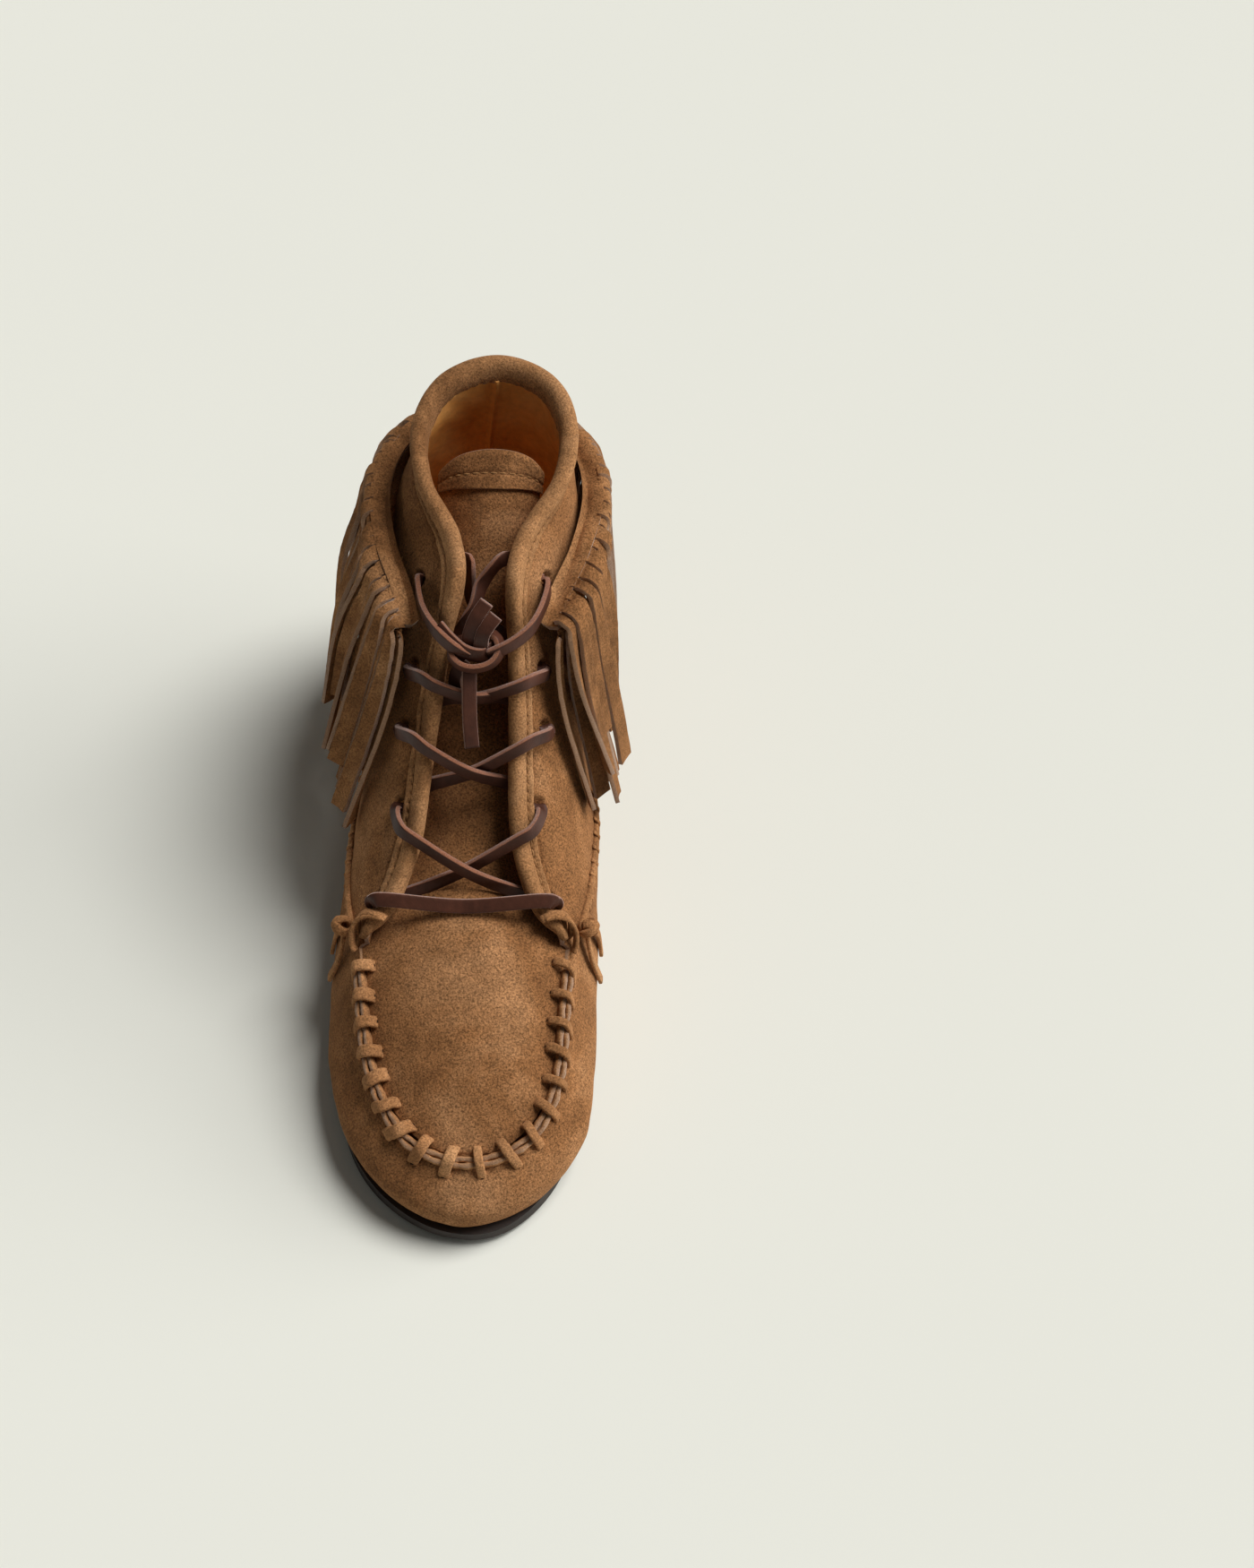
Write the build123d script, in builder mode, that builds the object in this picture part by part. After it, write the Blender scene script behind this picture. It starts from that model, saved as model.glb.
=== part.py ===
"""A fringed, lace-up moccasin ankle boot: the right shoe of a pair, as separate cut and sewn pieces.

Millimetres. The origin is on the sole's underside at mid length, +Z up, the toe towards -Y, the
wearer's inner (medial) side towards +X. Shapes are set out by stations: each gives s, the distance
back from the toe tip of the sole, w, the half width from the shoe's centre line, and z, the height.
Every leather panel is a surface through its stations, with a thickness laid on along the normal.
"""

import math
import os

from build123d import *

os.makedirs("parts", exist_ok=True)

# Driving dimensions
LENGTH = 262.0  # outsole, toe tip to heel
SOLE_HALF_WIDTH = 45.5  # at the ball of the foot
SOLE_FRONT = 7.0  # outsole thickness under the forefoot
SOLE_HEEL = 13.5  # outsole thickness under the heel
WEDGE_START, WEDGE_END = 110.0, 195.0  # where the sole thickens, from the toe tip
TOE_SPRING = 3.0
TREAD_DEPTH, TREAD_WIDTH = 1.2, 3.0
FEATHER_GAP = 0.8  # the upper's lower edge above the sole
SUEDE = 1.6  # thickness of the quarters, plug and tongue
WRAP = 1.8  # thickness of the moccasin wrap
LINING = 0.9
COUNTER = 1.4  # the stiffener in the heel
HEM = 1.2  # the band folded over the tongue's top
GAP = 0.3  # air left between layers that lie on each other
BOARD_INSET, BOARD_BOTTOM, BOARD_TOP = 8.2, 0.3, 1.9  # the insole layers' heights are above the outsole
FOAM_INSET, FOAM_BOTTOM, FOAM_TOP = 8.6, 2.1, 5.0
SOCK_INSET, SOCK_BOTTOM, SOCK_TOP = 9.0, 5.2, 6.2
BINDING_WIDTH, BINDING_DEPTH = 9.4, 6.0  # the rolled edge of the facings and collar
LACE_WIDTH, LACE_THICK = 4.8, 1.9
EYELET_RADIUS = 2.6
LACE_STEP = 0.12  # how far above its eyelet, in stations, a run comes out from behind the facing
LACE_LIFT, LACE_SAG = 3.8, -1.2  # how far a crossing's two runs stand off the line between facings
BAR_DROP = Vector(0, -2.0, -0.5)  # the bottom bar's middle hangs towards the toe
LACE_DROP = 0.42  # how far below its eyelet, in stations, a run comes over the facing's rim
LACE_CLEAR = 1.6  # a lace's gap over the binding, where it bends round it
KNOT = Vector(6.2, 26.8, 122.5)
KNOT_RADIUS = 5.6
# The knot's three short ends and the hanging tail, from the knot's middle: (across, up the tongue, out).
KNOT_STUBS = [
    [(-3.0, -2.0, 3.7), (-1.5, 5.0, 6.2), (3.0, 12.5, 9.5)],
    [(1.5, -3.0, 3.7), (3.2, 2.5, 5.4), (6.0, 7.6, 7.6)],
    [(-13.0, 4.8, 4.6), (-10.2, 2.4, 4.6), (-7.6, 0.2, 4.2)],
]
TAIL = [(-2.6, -7.6, 1.0), (-2.7, -16.0, 1.0), (-2.6, -26.0, -0.8), (-2.0, -35.0, -2.8)]
TONGUE_FACE = Vector(0, -0.64, 0.77)  # the way the tongue looks at the knot
TONGUE_RISE = Vector(0, 0.77, 0.64)  # up the tongue at the knot
TIE_RADIUS = 3.8
STRAP = 1.5
STRIP_THICK = 1.4  # a fringe strip
STRIP_CUT = 0.05  # the part of a strip's width that is cut away at each of its edges
STRIPS_IN_GROUP = 8
UNDER_DROP = 2.4  # the under layer of strips lies this far inside the outer one
MOC_STITCHES = 18  # thong stitches across the front seam
MOC_STITCH_WIDTH, MOC_STITCH_THICK = 3.4, 1.2
MOC_SEAM_END = 3.78  # the wrap's station where they end
SIDE_STITCHES = 14  # whip stitches along each side seam
SIDE_STITCH_WIDTH, SIDE_STITCH_THICK = 2.4, 1.0
TIE_WIDTH, TIE_THICK = 3.4, 1.4  # a tie knot's loose ends
LATERAL, MEDIAL = -1, 1
SIDES = {"lateral": LATERAL, "medial": MEDIAL}
GROUPS = ["front", "side", "back"]

# Half of the outsole's outline from toe to heel on each side: (s, distance from the centre line x).
SOLE_MEDIAL = [
    (2.5, 15.5),
    (10, 25.0),
    (28, 35.5),
    (55, 41.0),
    (82, 42.8),
    (115, 39.5),
    (150, 35.5),
    (190, 34),
    (225, 34),
    (252, 25),
]
SOLE_LATERAL = [
    (2.5, -8),
    (10, -20.5),
    (28, -35),
    (55, -43),
    (85, -45.5),
    (115, -41.5),
    (150, -34.5),
    (190, -30),
    (225, -28),
    (252, -18),
]
SOLE_TIP, SOLE_END = (0, 4), (262, 4)
# Tread grooves, by their length: how far from the toe tip each one lies.
TREADS = {52: (45, 57, 69, 81, 93, 105), 36: (190, 202, 214, 226, 238)}

# Stations of the upper from the front corner of the facing (first) round to the middle of the heel
# (last). Each holds six (s, w, z) points: feather line, wall bulge, side seam, then instep, flap line
# and top edge.
BACK_STATIONS = [
    [
        (86, 43.0, 7), (85, 45.5, 21), (86, 35.5, 46.0),
        (86.5, 35.0, 48.5), (87, 34.2, 51), (88, 33.0, 53.5),
    ],
    [
        (102, 41.5, 7), (101, 45.4, 22), (100, 39.5, 43.0),
        (99.8, 35.5, 48.5), (99, 30.5, 53.5), (98, 25.0, 58.5),
    ],
    [
        (120, 38.5, 7), (119, 44.4, 24), (118, 42.0, 40.0),
        (117.5, 37.0, 51), (116.5, 29.0, 61.5), (115, 18.5, 70.0),
    ],
    [
        (142, 35.0, 9), (141, 42.8, 26), (140, 42.0, 40.0),
        (140, 38.0, 58), (139, 28.5, 77), (138, 15.5, 92.0),
    ],
    [
        (164, 32.0, 11), (163, 40.5, 28), (162, 39.5, 42.0),
        (161, 36.5, 68), (159, 26.0, 94), (156, 13.2, 113.0),
    ],
    [
        (186, 31.0, 13), (185, 38.0, 30), (184, 37.0, 44.0),
        (182, 34.0, 76), (177, 25.0, 108), (170, 10.0, 136.0),
    ],
    [
        (206, 31.0, 13), (206, 36.5, 31), (204, 35.0, 46.0),
        (201, 33.0, 82), (196, 28.5, 120), (186, 12.5, 141.5),
    ],
    [
        (226, 30.0, 13), (227, 34.0, 32), (224, 32.0, 49.0),
        (220, 32.0, 86), (216, 31.0, 124), (206, 22.5, 146.0),
    ],
    [
        (243, 24.0, 13), (245, 27.0, 33), (241, 26.0, 51.0),
        (237, 26.5, 88), (233, 27.0, 126), (226, 24.5, 150.0),
    ],
    [
        (253.5, 14.0, 13), (255.5, 15.5, 34), (252, 15.5, 53.0),
        (247, 15.5, 90), (245, 16.0, 127), (242, 17.0, 154.0),
    ],
    [
        (257.5, 0.0, 13), (260.0, 0.0, 34), (257.5, 0.0, 54.0),
        (251, 0.0, 90), (249, 0.0, 128), (249, 0.0, 155.5),
    ],
]
# Stations of the wrap from the middle of the toe to the facing: feather line, wall bulge, seam.
TOE_STATIONS = [
    [(4.5, 0.0, 8.0), (2.2, 0.0, 17.5), (16.0, 0.0, 27.0)],
    [(12.0, 20.0, 7.6), (10.0, 21.5, 18.0), (18.5, 12.5, 28.0)],
    [(30.0, 34.5, 7.2), (29.0, 38.0, 19.0), (27.5, 23.5, 30.0)],
    [(56.0, 41.5, 7.2), (55.0, 44.3, 20.0), (48.0, 31.5, 35.5)],
]
# Rows of the plug from the toe to the throat: s, half width and height at its edge, height of its crown.
PLUG_ROWS = [
    (18.0, 5.0, 27.0, 27.8),
    (20.8, 12.4, 28.2, 30.2),
    (28.5, 21.2, 30.4, 34.6),
    (40.0, 27.6, 33.4, 41.0),
    (56.0, 31.0, 38.0, 48.0),
    (72.0, 32.6, 42.4, 53.5),
    (88.0, 30.0, 47.0, 57.8),
    (101.0, 23.0, 51.5, 60.6),
]
# Rows of the tongue from its sewn root to its tip: crown s and z, then s, half width and z at its edge.
TONGUE_ROWS = [
    (98, 54.5, 98, 22.0, 48.5),
    (118, 61.5, 119, 22.0, 52.0),
    (143, 79.0, 147, 20.0, 69.0),
    (165, 98.0, 173, 18.5, 92.0),
    (181, 118.0, 190, 17.0, 114.0),
    (198, 134.5, 206, 17.5, 131.0),
    (217, 149.5, 216, 17.5, 144.0),
]
# The fringe from the facing round to the middle of the back: the station of the quarter that it leaves,
# the height where it is sewn on, then (s, w, z) where it folds over, half way down and at its free end.
FRINGE_ROWS = [
    (4.70, 115, (160.0, 25.0, 116), (149.5, 29.0, 95), (135.5, 41.0, 57)),
    (5.20, 118, (171.0, 32.0, 117), (165.0, 37.0, 93), (157.0, 46.0, 49)),
    (5.90, 121, (187.0, 36.5, 118), (186.0, 42.5, 90), (183.0, 47.5, 44)),
    (7.00, 124, (208.0, 38.5, 118), (208.0, 43.5, 88), (207.0, 46.5, 42)),
    (8.00, 126, (231.0, 37.0, 118), (234.0, 40.5, 88), (236.0, 43.5, 42)),
    (9.00, 127, (250.0, 27.5, 118), (256.0, 29.0, 88), (258.5, 31.0, 44)),
    (9.93, 127, (260.5, 1.4, 118), (266.0, 1.4, 88), (268.0, 1.6, 46)),
]
FRINGE_LEAN = (0.0, 1.5, 2.5)  # how much closer the medial fringe hangs, at its fold, middle and end
CREST = 6.0  # how far the fringe flap stands out before it turns down
FOLD = 0.5  # the fold's place along a fringe line, 0 where it is sewn on and 1 at the free end
# Eyelets, from the toe up: the quarter's station, and how far up the quarter.
EYELETS = [(1.08, 0.77), (2.46, 0.825), (3.42, 0.765), (4.18, 0.775), (5.46, 0.795)]

TOES = len(TOE_STATIONS)
LAST = len(BACK_STATIONS) - 1
HEEL_GAP = 0.03  # stations left open at the heel seam


def smooth(points, t):
    """The point at t on a Catmull-Rom curve through points, with t counted in points."""
    last = len(points) - 1
    i = max(0, min(int(t), last - 1))
    f = t - i
    p1, p2 = points[i], points[i + 1]
    p0 = points[i - 1] if i else [2 * a - b for a, b in zip(p1, p2)]
    p3 = points[i + 2] if i + 2 <= last else [2 * b - a for a, b in zip(p1, p2)]
    return [
        b + 0.5 * f * (c - a + f * (2 * a - 5 * b + 4 * c - d + f * (3 * (b - c) + d - a)))
        for a, b, c, d in zip(p0, p1, p2, p3)
    ]


def sole_top(s):
    """The height of the outsole's upper face: flat under the forefoot, then an even rise to the heel."""
    f = min(max((s - WEDGE_START) / (WEDGE_END - WEDGE_START), 0), 1)
    return SOLE_FRONT + (SOLE_HEEL - SOLE_FRONT) * f * f * (3 - 2 * f)


def centre(s, z):
    """The x of the shoe's centre line: it leans to the inner side as it rises, bows outwards at the
    instep and at the ball of the foot, and the toe turns inwards."""
    instep = max(0.0, 1 - ((z - 92) / 55) ** 2)
    ball = max(0.0, 1 - ((s - 88) / 55) ** 2)
    return 0.069 * z - 2.2 * instep - 1.4 * ball + 0.05 * max(0.0, 60 - s)


def place(side, s, w, z):
    """A station's point in the shoe's frame."""
    return Vector(centre(s, z) + side * w, s - LENGTH / 2, z)


def mirrored(row):
    return [(s, -w, z) for s, w, z in row]


def quarter_at(side, t, v):
    """A point of a quarter's outside: t is its station, v runs from the side seam (0) to the top (1)."""
    rows = [row[2:] for row in BACK_STATIONS]
    rows.append(mirrored(rows[-2]))
    column = [smooth([row[k] for row in rows], t) for k in range(4)]
    return place(side, *smooth(column, 3 * v))


def wrap_at(side, t, v):
    """A point of the wrap's outside: t runs from toe to heel, v from the sole (0) to the seam (1)."""
    rows = TOE_STATIONS + [row[:3] for row in BACK_STATIONS]
    rows = [mirrored(rows[1])] + rows + [mirrored(rows[-2])]
    column = [smooth([row[k] for row in rows], t + 1) for k in range(3)]
    column[0][2] = sole_top(column[0][0]) + FEATHER_GAP
    return place(side, *smooth(column, 2 * v))


def plug_at(side, t, v):
    """A point of the plug's outside: t is its row, and v runs across it from -1 to 1."""
    s, w, edge, crown = smooth(PLUG_ROWS, t)
    return place(-side, s, w * v, crown + (edge - crown) * v * v)


def tongue_at(side, t, v):
    """A point of the tongue's front: t is its row, and v runs across it from -1 to 1."""
    s, z, edge_s, w, edge_z = smooth(TONGUE_ROWS, t)
    return place(-side, s + (edge_s - s) * v * v, w * v, z + (edge_z - z) * v * v)


def outward(surface, side, t, v):
    """The unit normal of a surface, on its outside."""
    step = 0.01
    along = surface(side, t + step, v) - surface(side, t - step, v)
    rise = surface(side, t, v + step) - surface(side, t, v - step)
    return along.cross(rise).normalized() * side


def height_v(side, t, z):
    """How far up a quarter it reaches the height z."""
    low, high = 0.0, 1.0
    for _ in range(24):
        middle = (low + high) / 2
        low, high = (middle, high) if quarter_at(side, t, middle).Z < z else (low, middle)
    return low


def fringe_at(side, t, v):
    """A point of the fringe's outside: t is its row, and v runs from its root (0) to its free end (1)."""
    rows = [[row[0], row[1], *row[2], *row[3], *row[4]] for row in FRINGE_ROWS]
    station, z, *rest = smooth(rows, t)
    up = height_v(side, station, z)
    normal = outward(quarter_at, side, station, up)
    root = quarter_at(side, station, up) + normal * (GAP + 2 * STRIP_THICK)
    crest = root + Vector(normal.X, normal.Y, 0.25).normalized() * CREST
    line = [root, crest]
    for k, lean in enumerate(FRINGE_LEAN):
        s, w, height = rest[3 * k : 3 * k + 3]
        line.append(place(side, s, w - side * lean * min(t / 2, 1) * min(w / 30, 1) ** 2, height))
    return Vector(*smooth([tuple(point) for point in line], 4 * v))


def steps(first, last, count):
    return [first + (last - first) * i / (count - 1) for i in range(count)]


def even(curve, first, last, count):
    """Values of t that step evenly along a curve, ends included."""
    values = steps(first, last, 120)
    total = [0.0]
    for a, b in zip(values, values[1:]):
        total.append(total[-1] + (curve(b) - curve(a)).length)
    result = []
    for length in steps(0, total[-1], count):
        i = max(k for k in range(len(values) - 1) if total[k] <= length)
        part_way = (length - total[i]) / (total[i + 1] - total[i])
        result.append(values[i] + (values[i + 1] - values[i]) * part_way)
    return result


def patch(surface, side, stations, v_span, columns=7):
    """Rows of (point, normal) over part of a surface. v_span gives its v limits at a station."""
    return [
        [(surface(side, t, v), outward(surface, side, t, v)) for v in steps(*v_span(t), columns)]
        for t in stations
    ]


def solid_between(outer, inner):
    """The solid between two grids of points whose edges run side by side."""
    skins = [Face.make_surface_from_array_of_points(grid, tol=0.05) for grid in (outer, inner)]
    walls = []
    for edge in skins[0].edges():
        mate = min(skins[1].edges(), key=lambda other: (other @ 0.5 - edge @ 0.5).length)
        walls.append(Face.make_surface_from_curves(edge, mate))
    return Solid(Shell(skins + walls))


def skin(rows, lift, thickness):
    """A layer of the given thickness whose outside is lift above the rows' surface."""
    outer = [[point + normal * lift for point, normal in row] for row in rows]
    inner = [[point + normal * (lift - thickness) for point, normal in row] for row in rows]
    return solid_between(outer, inner)


def ribbon(points, normals, width, thickness, spans=6):
    """A flat strap of leather whose middle runs smoothly through points, with its face towards normals."""
    path = [tuple(point) for point in points]
    faces = [tuple(normal) for normal in normals]
    outer, inner = [], []
    for t in steps(0, len(path) - 1, spans * (len(path) - 1) + 1):
        point = Vector(*smooth(path, t))
        along = Vector(*smooth(path, t + 0.05)) - Vector(*smooth(path, t - 0.05))
        across = along.cross(Vector(*smooth(faces, t))).normalized()
        up = across.cross(along).normalized()
        outer.append([point + across * width * f + up * thickness / 2 for f in (-0.5, 0, 0.5)])
        inner.append([point + across * width * f - up * thickness / 2 for f in (-0.5, 0, 0.5)])
    return solid_between(outer, inner)


def patch_both_sides(surface, stations, v_span):
    """Rows right round the shoe: up the lateral side to the first station, then down the medial side."""
    lateral = patch(surface, LATERAL, stations, v_span)
    medial = patch(surface, MEDIAL, stations, v_span)
    return lateral[:0:-1] + medial


def patch_round_heel(surface, stations, v_span, columns=7):
    """Rows from the medial side round the heel to the lateral side."""
    medial = patch(surface, MEDIAL, stations, v_span, columns)
    lateral = patch(surface, LATERAL, stations, v_span, columns)
    return medial + lateral[-2::-1]


def write(name, *solids):
    """Write one sub-part of one or more separate solids."""
    with BuildPart() as piece:
        add(list(solids))
    piece.part.label = name
    export_step(piece.part, f"parts/{name}.step")
    print(name, len(piece.part.solids()), round(piece.part.volume), piece.part.is_valid)


def sole_outline(inset):
    """The outsole's outline as a sketch, drawn in by inset at its ends and its widest place."""
    around = [SOLE_TIP] + SOLE_MEDIAL + [SOLE_END] + SOLE_LATERAL[::-1]
    along, across = 1 - 2 * inset / LENGTH, 1 - inset / SOLE_HALF_WIDTH
    middle = SOLE_TIP[1]
    points = [(middle + (x - middle) * across, (s - LENGTH / 2) * along) for s, x in around]
    with BuildSketch() as outline:
        with BuildLine():
            Spline(*points, periodic=True)
        make_face()
    return outline.sketch


def sole_layer(name, inset, bottom, top, bottom_is_ground=False):
    """A slab of the sole's outline between two heights above its upper face."""
    ways = [(s, sole_top(s)) for s in steps(-4, LENGTH + 8, 35)]
    with BuildPart() as slab:
        add(sole_outline(inset))
        extrude(amount=40)
        with BuildSketch(Plane.YZ):
            with BuildLine():
                upper = Spline(*[(s - LENGTH / 2, z + top) for s, z in ways])
                if bottom_is_ground:
                    lower = Polyline(
                        (-LENGTH / 2 - 4, TOE_SPRING + 0.6),
                        (-LENGTH / 2, TOE_SPRING),
                        (-LENGTH / 2 + 24, 0),
                        (LENGTH / 2 + 8, 0),
                    )
                else:
                    lower = Spline(*[(s - LENGTH / 2, z + bottom) for s, z in ways])
                Line(lower @ 0, upper @ 0)
                Line(lower @ 1, upper @ 1)
            make_face()
        extrude(amount=80, both=True, mode=Mode.INTERSECT)
        if bottom_is_ground:
            for length, places in TREADS.items():
                with Locations(*[(SOLE_TIP[1], s - LENGTH / 2, 0) for s in places]):
                    Box(length, TREAD_WIDTH, 2 * TREAD_DEPTH, mode=Mode.SUBTRACT)
    write(name, slab.part)


def make_soles():
    sole_layer("outsole", 0, 0, 0, bottom_is_ground=True)
    sole_layer("insole_board", BOARD_INSET, BOARD_BOTTOM, BOARD_TOP)
    sole_layer("footbed_foam", FOAM_INSET, FOAM_BOTTOM, FOAM_TOP)
    sole_layer("sock_liner", SOCK_INSET, SOCK_BOTTOM, SOCK_TOP)


def make_wrap():
    stations = steps(0, TOES + LAST - HEEL_GAP, 71)
    write("moccasin_wrap", skin(patch_both_sides(wrap_at, stations, lambda t: (0, 0.99)), 0, WRAP))


def make_plug():
    rows = patch(plug_at, MEDIAL, steps(0, len(PLUG_ROWS) - 1, 24), lambda t: (-1, 1), 13)
    write("plug", skin(rows, 0, SUEDE))


def quarter_span(t):
    """The v limits of a quarter: clear of the side seam below and of the binding above."""
    lower = (quarter_at(MEDIAL, t, 1 / 3) - quarter_at(MEDIAL, t, 0)).length
    upper = (quarter_at(MEDIAL, t, 1) - quarter_at(MEDIAL, t, 2 / 3)).length
    return 4 * GAP / lower / 3, 1 - (BINDING_WIDTH / 2 + GAP) / upper / 3


def make_quarters():
    for name, side in SIDES.items():
        rows = patch(quarter_at, side, steps(0.4, LAST - HEEL_GAP, 44), quarter_span, 11)
        with BuildPart() as quarter:
            add(skin(rows, 0, SUEDE))
            for t, v in EYELETS:
                hole = Plane(quarter_at(side, t, v), z_dir=outward(quarter_at, side, t, v))
                with Locations(hole.location):
                    Cylinder(EYELET_RADIUS, 10, mode=Mode.SUBTRACT)
        write(f"quarter_{name}", quarter.part)
        rows = patch(quarter_at, side, steps(0.9, LAST - HEEL_GAP, 40), quarter_span, 11)
        with BuildPart() as lining:
            add(skin(rows, -SUEDE - GAP, LINING))
            for t, v in EYELETS[1:]:
                hole = Plane(quarter_at(side, t, v), z_dir=outward(quarter_at, side, t, v))
                with Locations(hole.location):
                    Cylinder(EYELET_RADIUS, 14, mode=Mode.SUBTRACT)
        write(f"lining_{name}", lining.part)


def make_heel():
    stations = steps(TOES + LAST - 3.2, TOES + LAST, 20)
    rows = patch_round_heel(wrap_at, stations, lambda t: (0.36, 0.92))
    write("heel_counter", skin(rows, -WRAP - GAP, COUNTER))


def make_binding():
    """The rolled edge, up one facing, round the collar and down the other facing."""
    outer, inner = [], []
    for side in (MEDIAL, LATERAL):
        rows = []
        for t in steps(0, LAST, 60):
            point = quarter_at(side, t, 1)
            normal = outward(quarter_at, side, t, 1)
            up = (quarter_at(side, t, 1) - quarter_at(side, t, 0.98)).normalized()
            angles = [math.radians(angle) for angle in steps(-84, 84, 9)]
            rise = [up * math.sin(angle) * BINDING_WIDTH / 2 for angle in angles]
            swell = [normal * math.cos(angle) * BINDING_DEPTH / 2 for angle in angles]
            rows.append(
                (
                    [point + a + b for a, b in zip(rise, swell)],
                    [point + a - b for a, b in zip(rise, swell)],
                )
            )
        rows = rows if side == MEDIAL else rows[-2::-1]
        outer += [row[0] for row in rows]
        inner += [row[1] for row in rows]
    write("edge_binding", solid_between(outer, inner))


def make_tongue():
    last = len(TONGUE_ROWS) - 1
    rows = patch(tongue_at, MEDIAL, steps(0, last, 24), lambda t: (-1, 1), 11)
    write("tongue", skin(rows, 0, SUEDE))
    rows = patch(tongue_at, MEDIAL, steps(0.3, last - 0.05, 22), lambda t: (-0.96, 0.96), 11)
    write("tongue_lining", skin(rows, -SUEDE - GAP, LINING))
    rows = patch(tongue_at, MEDIAL, steps(last - 0.45, last, 6), lambda t: (-0.98, 0.98), 11)
    write("tongue_hem", skin(rows, GAP + HEM, HEM))


def make_fringe():
    last = len(FRINGE_ROWS) - 1
    strips = STRIPS_IN_GROUP * len(GROUPS)
    cuts = even(lambda t: fringe_at(MEDIAL, t, FOLD), 0, last, strips + 1)
    for name, side in SIDES.items():
        rows = patch(fringe_at, side, steps(0, last, 26), lambda t: (0, FOLD - 0.07), 7)
        write(f"fringe_band_{name}", skin(rows, 0, 2 * STRIP_THICK))
        for group, label in enumerate(GROUPS):
            solids = []
            for i in range(group * STRIPS_IN_GROUP, (group + 1) * STRIPS_IN_GROUP):
                cut = (cuts[i + 1] - cuts[i]) * STRIP_CUT
                stations = steps(cuts[i] + cut, cuts[i + 1] - cut, 4)
                length = 1 - 0.012 * (i * 7 % 5)
                rows = patch(fringe_at, side, stations, lambda t: (FOLD + 0.02, length), 8)
                solids.append(skin(rows, 0, STRIP_THICK))
                rows = patch(fringe_at, side, stations, lambda t: (FOLD + 0.04, length - 0.05), 8)
                solids.append(skin(rows, -UNDER_DROP, STRIP_THICK))
            write(f"fringe_{name}_{label}", *solids)


def make_stitches():
    """Thong stitches over the moccasin seam and whip stitches over the side seams."""
    solids = []
    seam_ends = (-MOC_SEAM_END, MOC_SEAM_END)
    for t in even(lambda t: wrap_at(math.copysign(1, t), abs(t), 1), *seam_ends, MOC_STITCHES):
        side, t = math.copysign(1, t), abs(t)
        normal = outward(wrap_at, side, t, 0.98)
        seam = wrap_at(side, t, 1) + normal * 2.0
        inwards = (wrap_at(side, t, 1) - wrap_at(side, t, 0.9)).normalized()
        up = (normal + Vector(0, 0, 1)).normalized()
        points = [seam - inwards * 4.2 - up * 0.4, seam + up * 0.9, seam + inwards * 4.0 + up * 1.2]
        solids.append(ribbon(points, [up] * 3, MOC_STITCH_WIDTH, MOC_STITCH_THICK))
    write("moc_stitches", *solids)
    for name, side in SIDES.items():
        solids = []
        for t in steps(1.3, 8.7, SIDE_STITCHES):
            normal = outward(quarter_at, side, t, 0.04)
            low = wrap_at(side, t + TOES, 0.93) + normal * 1.2
            high = quarter_at(side, t + 0.12, 0.06) + normal * 1.2
            points = [low, (low + high) / 2 + normal * 0.7, high]
            solids.append(ribbon(points, [normal] * 3, SIDE_STITCH_WIDTH, SIDE_STITCH_THICK))
        write(f"side_stitches_{name}", *solids)


def on_binding(side, t, turn, clear):
    """The point and direction of a lace on the binding, turn degrees from its outside towards its rim."""
    normal = outward(quarter_at, side, t, 1)
    up = (quarter_at(side, t, 1) - quarter_at(side, t, 0.98)).normalized()
    c, s = math.cos(math.radians(turn)), math.sin(math.radians(turn))
    surface = quarter_at(side, t, 1) + normal * (c * BINDING_DEPTH / 2) + up * (s * BINDING_WIDTH / 2)
    face = (normal * (c / BINDING_DEPTH) + up * (s / BINDING_WIDTH)).normalized()
    return surface + face * (LACE_THICK / 2 + clear), face


def on_quarter(side, t, v, clear):
    """The point and direction of a lace where it lies on the outside of a quarter."""
    normal = outward(quarter_at, side, t, v)
    return quarter_at(side, t, v) + normal * (LACE_THICK / 2 + clear), normal


def behind_facing(side, eyelet):
    """A lace's way inside the shaft, a little above an eyelet: behind the facing, then the binding."""
    t, v = EYELETS[eyelet]
    face = outward(quarter_at, side, t + LACE_STEP, v)
    edge = outward(quarter_at, side, t + LACE_STEP, 1)
    back = SUEDE + GAP + LINING + LACE_THICK / 2 + 4 * GAP
    under = BINDING_DEPTH / 2 + LACE_THICK / 2 + 4 * GAP
    return [
        (quarter_at(side, t + LACE_STEP, v) - face * back, face),
        (quarter_at(side, t + LACE_STEP, 1) - edge * under, edge),
    ]


def by_knot(across, rise, out):
    """A point near the knot: across the shoe, up along the tongue and out from it."""
    return KNOT + Vector(across, 0, 0) + TONGUE_RISE * rise + TONGUE_FACE * out


def lace(route):
    """A stretch of lace along a route of (point, direction that its face looks)."""
    points, normals = zip(*route)
    return ribbon(points, normals, LACE_WIDTH, LACE_THICK)


def lace_run(side, start, lift):
    """One run of lace: from behind a facing, over the tongue and the other facing's rim to its eyelet."""
    t, v = EYELETS[start + 1]
    route = behind_facing(side, start)
    rim = on_binding(-side, t - LACE_DROP, 66, LACE_CLEAR)
    middle = (route[-1][0] + rim[0]) / 2 + TONGUE_FACE * lift
    route += [(middle, TONGUE_FACE), rim, on_binding(-side, t - LACE_DROP * 0.85, 30, LACE_CLEAR)]
    route.append(on_binding(-side, t - LACE_DROP * 0.65, -10, LACE_CLEAR))
    route.append(on_quarter(-side, t - LACE_DROP * 0.25, (3 * v + 1) / 4, 1.3))
    return lace(route + [on_quarter(-side, t, v, 0.5)])


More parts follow.
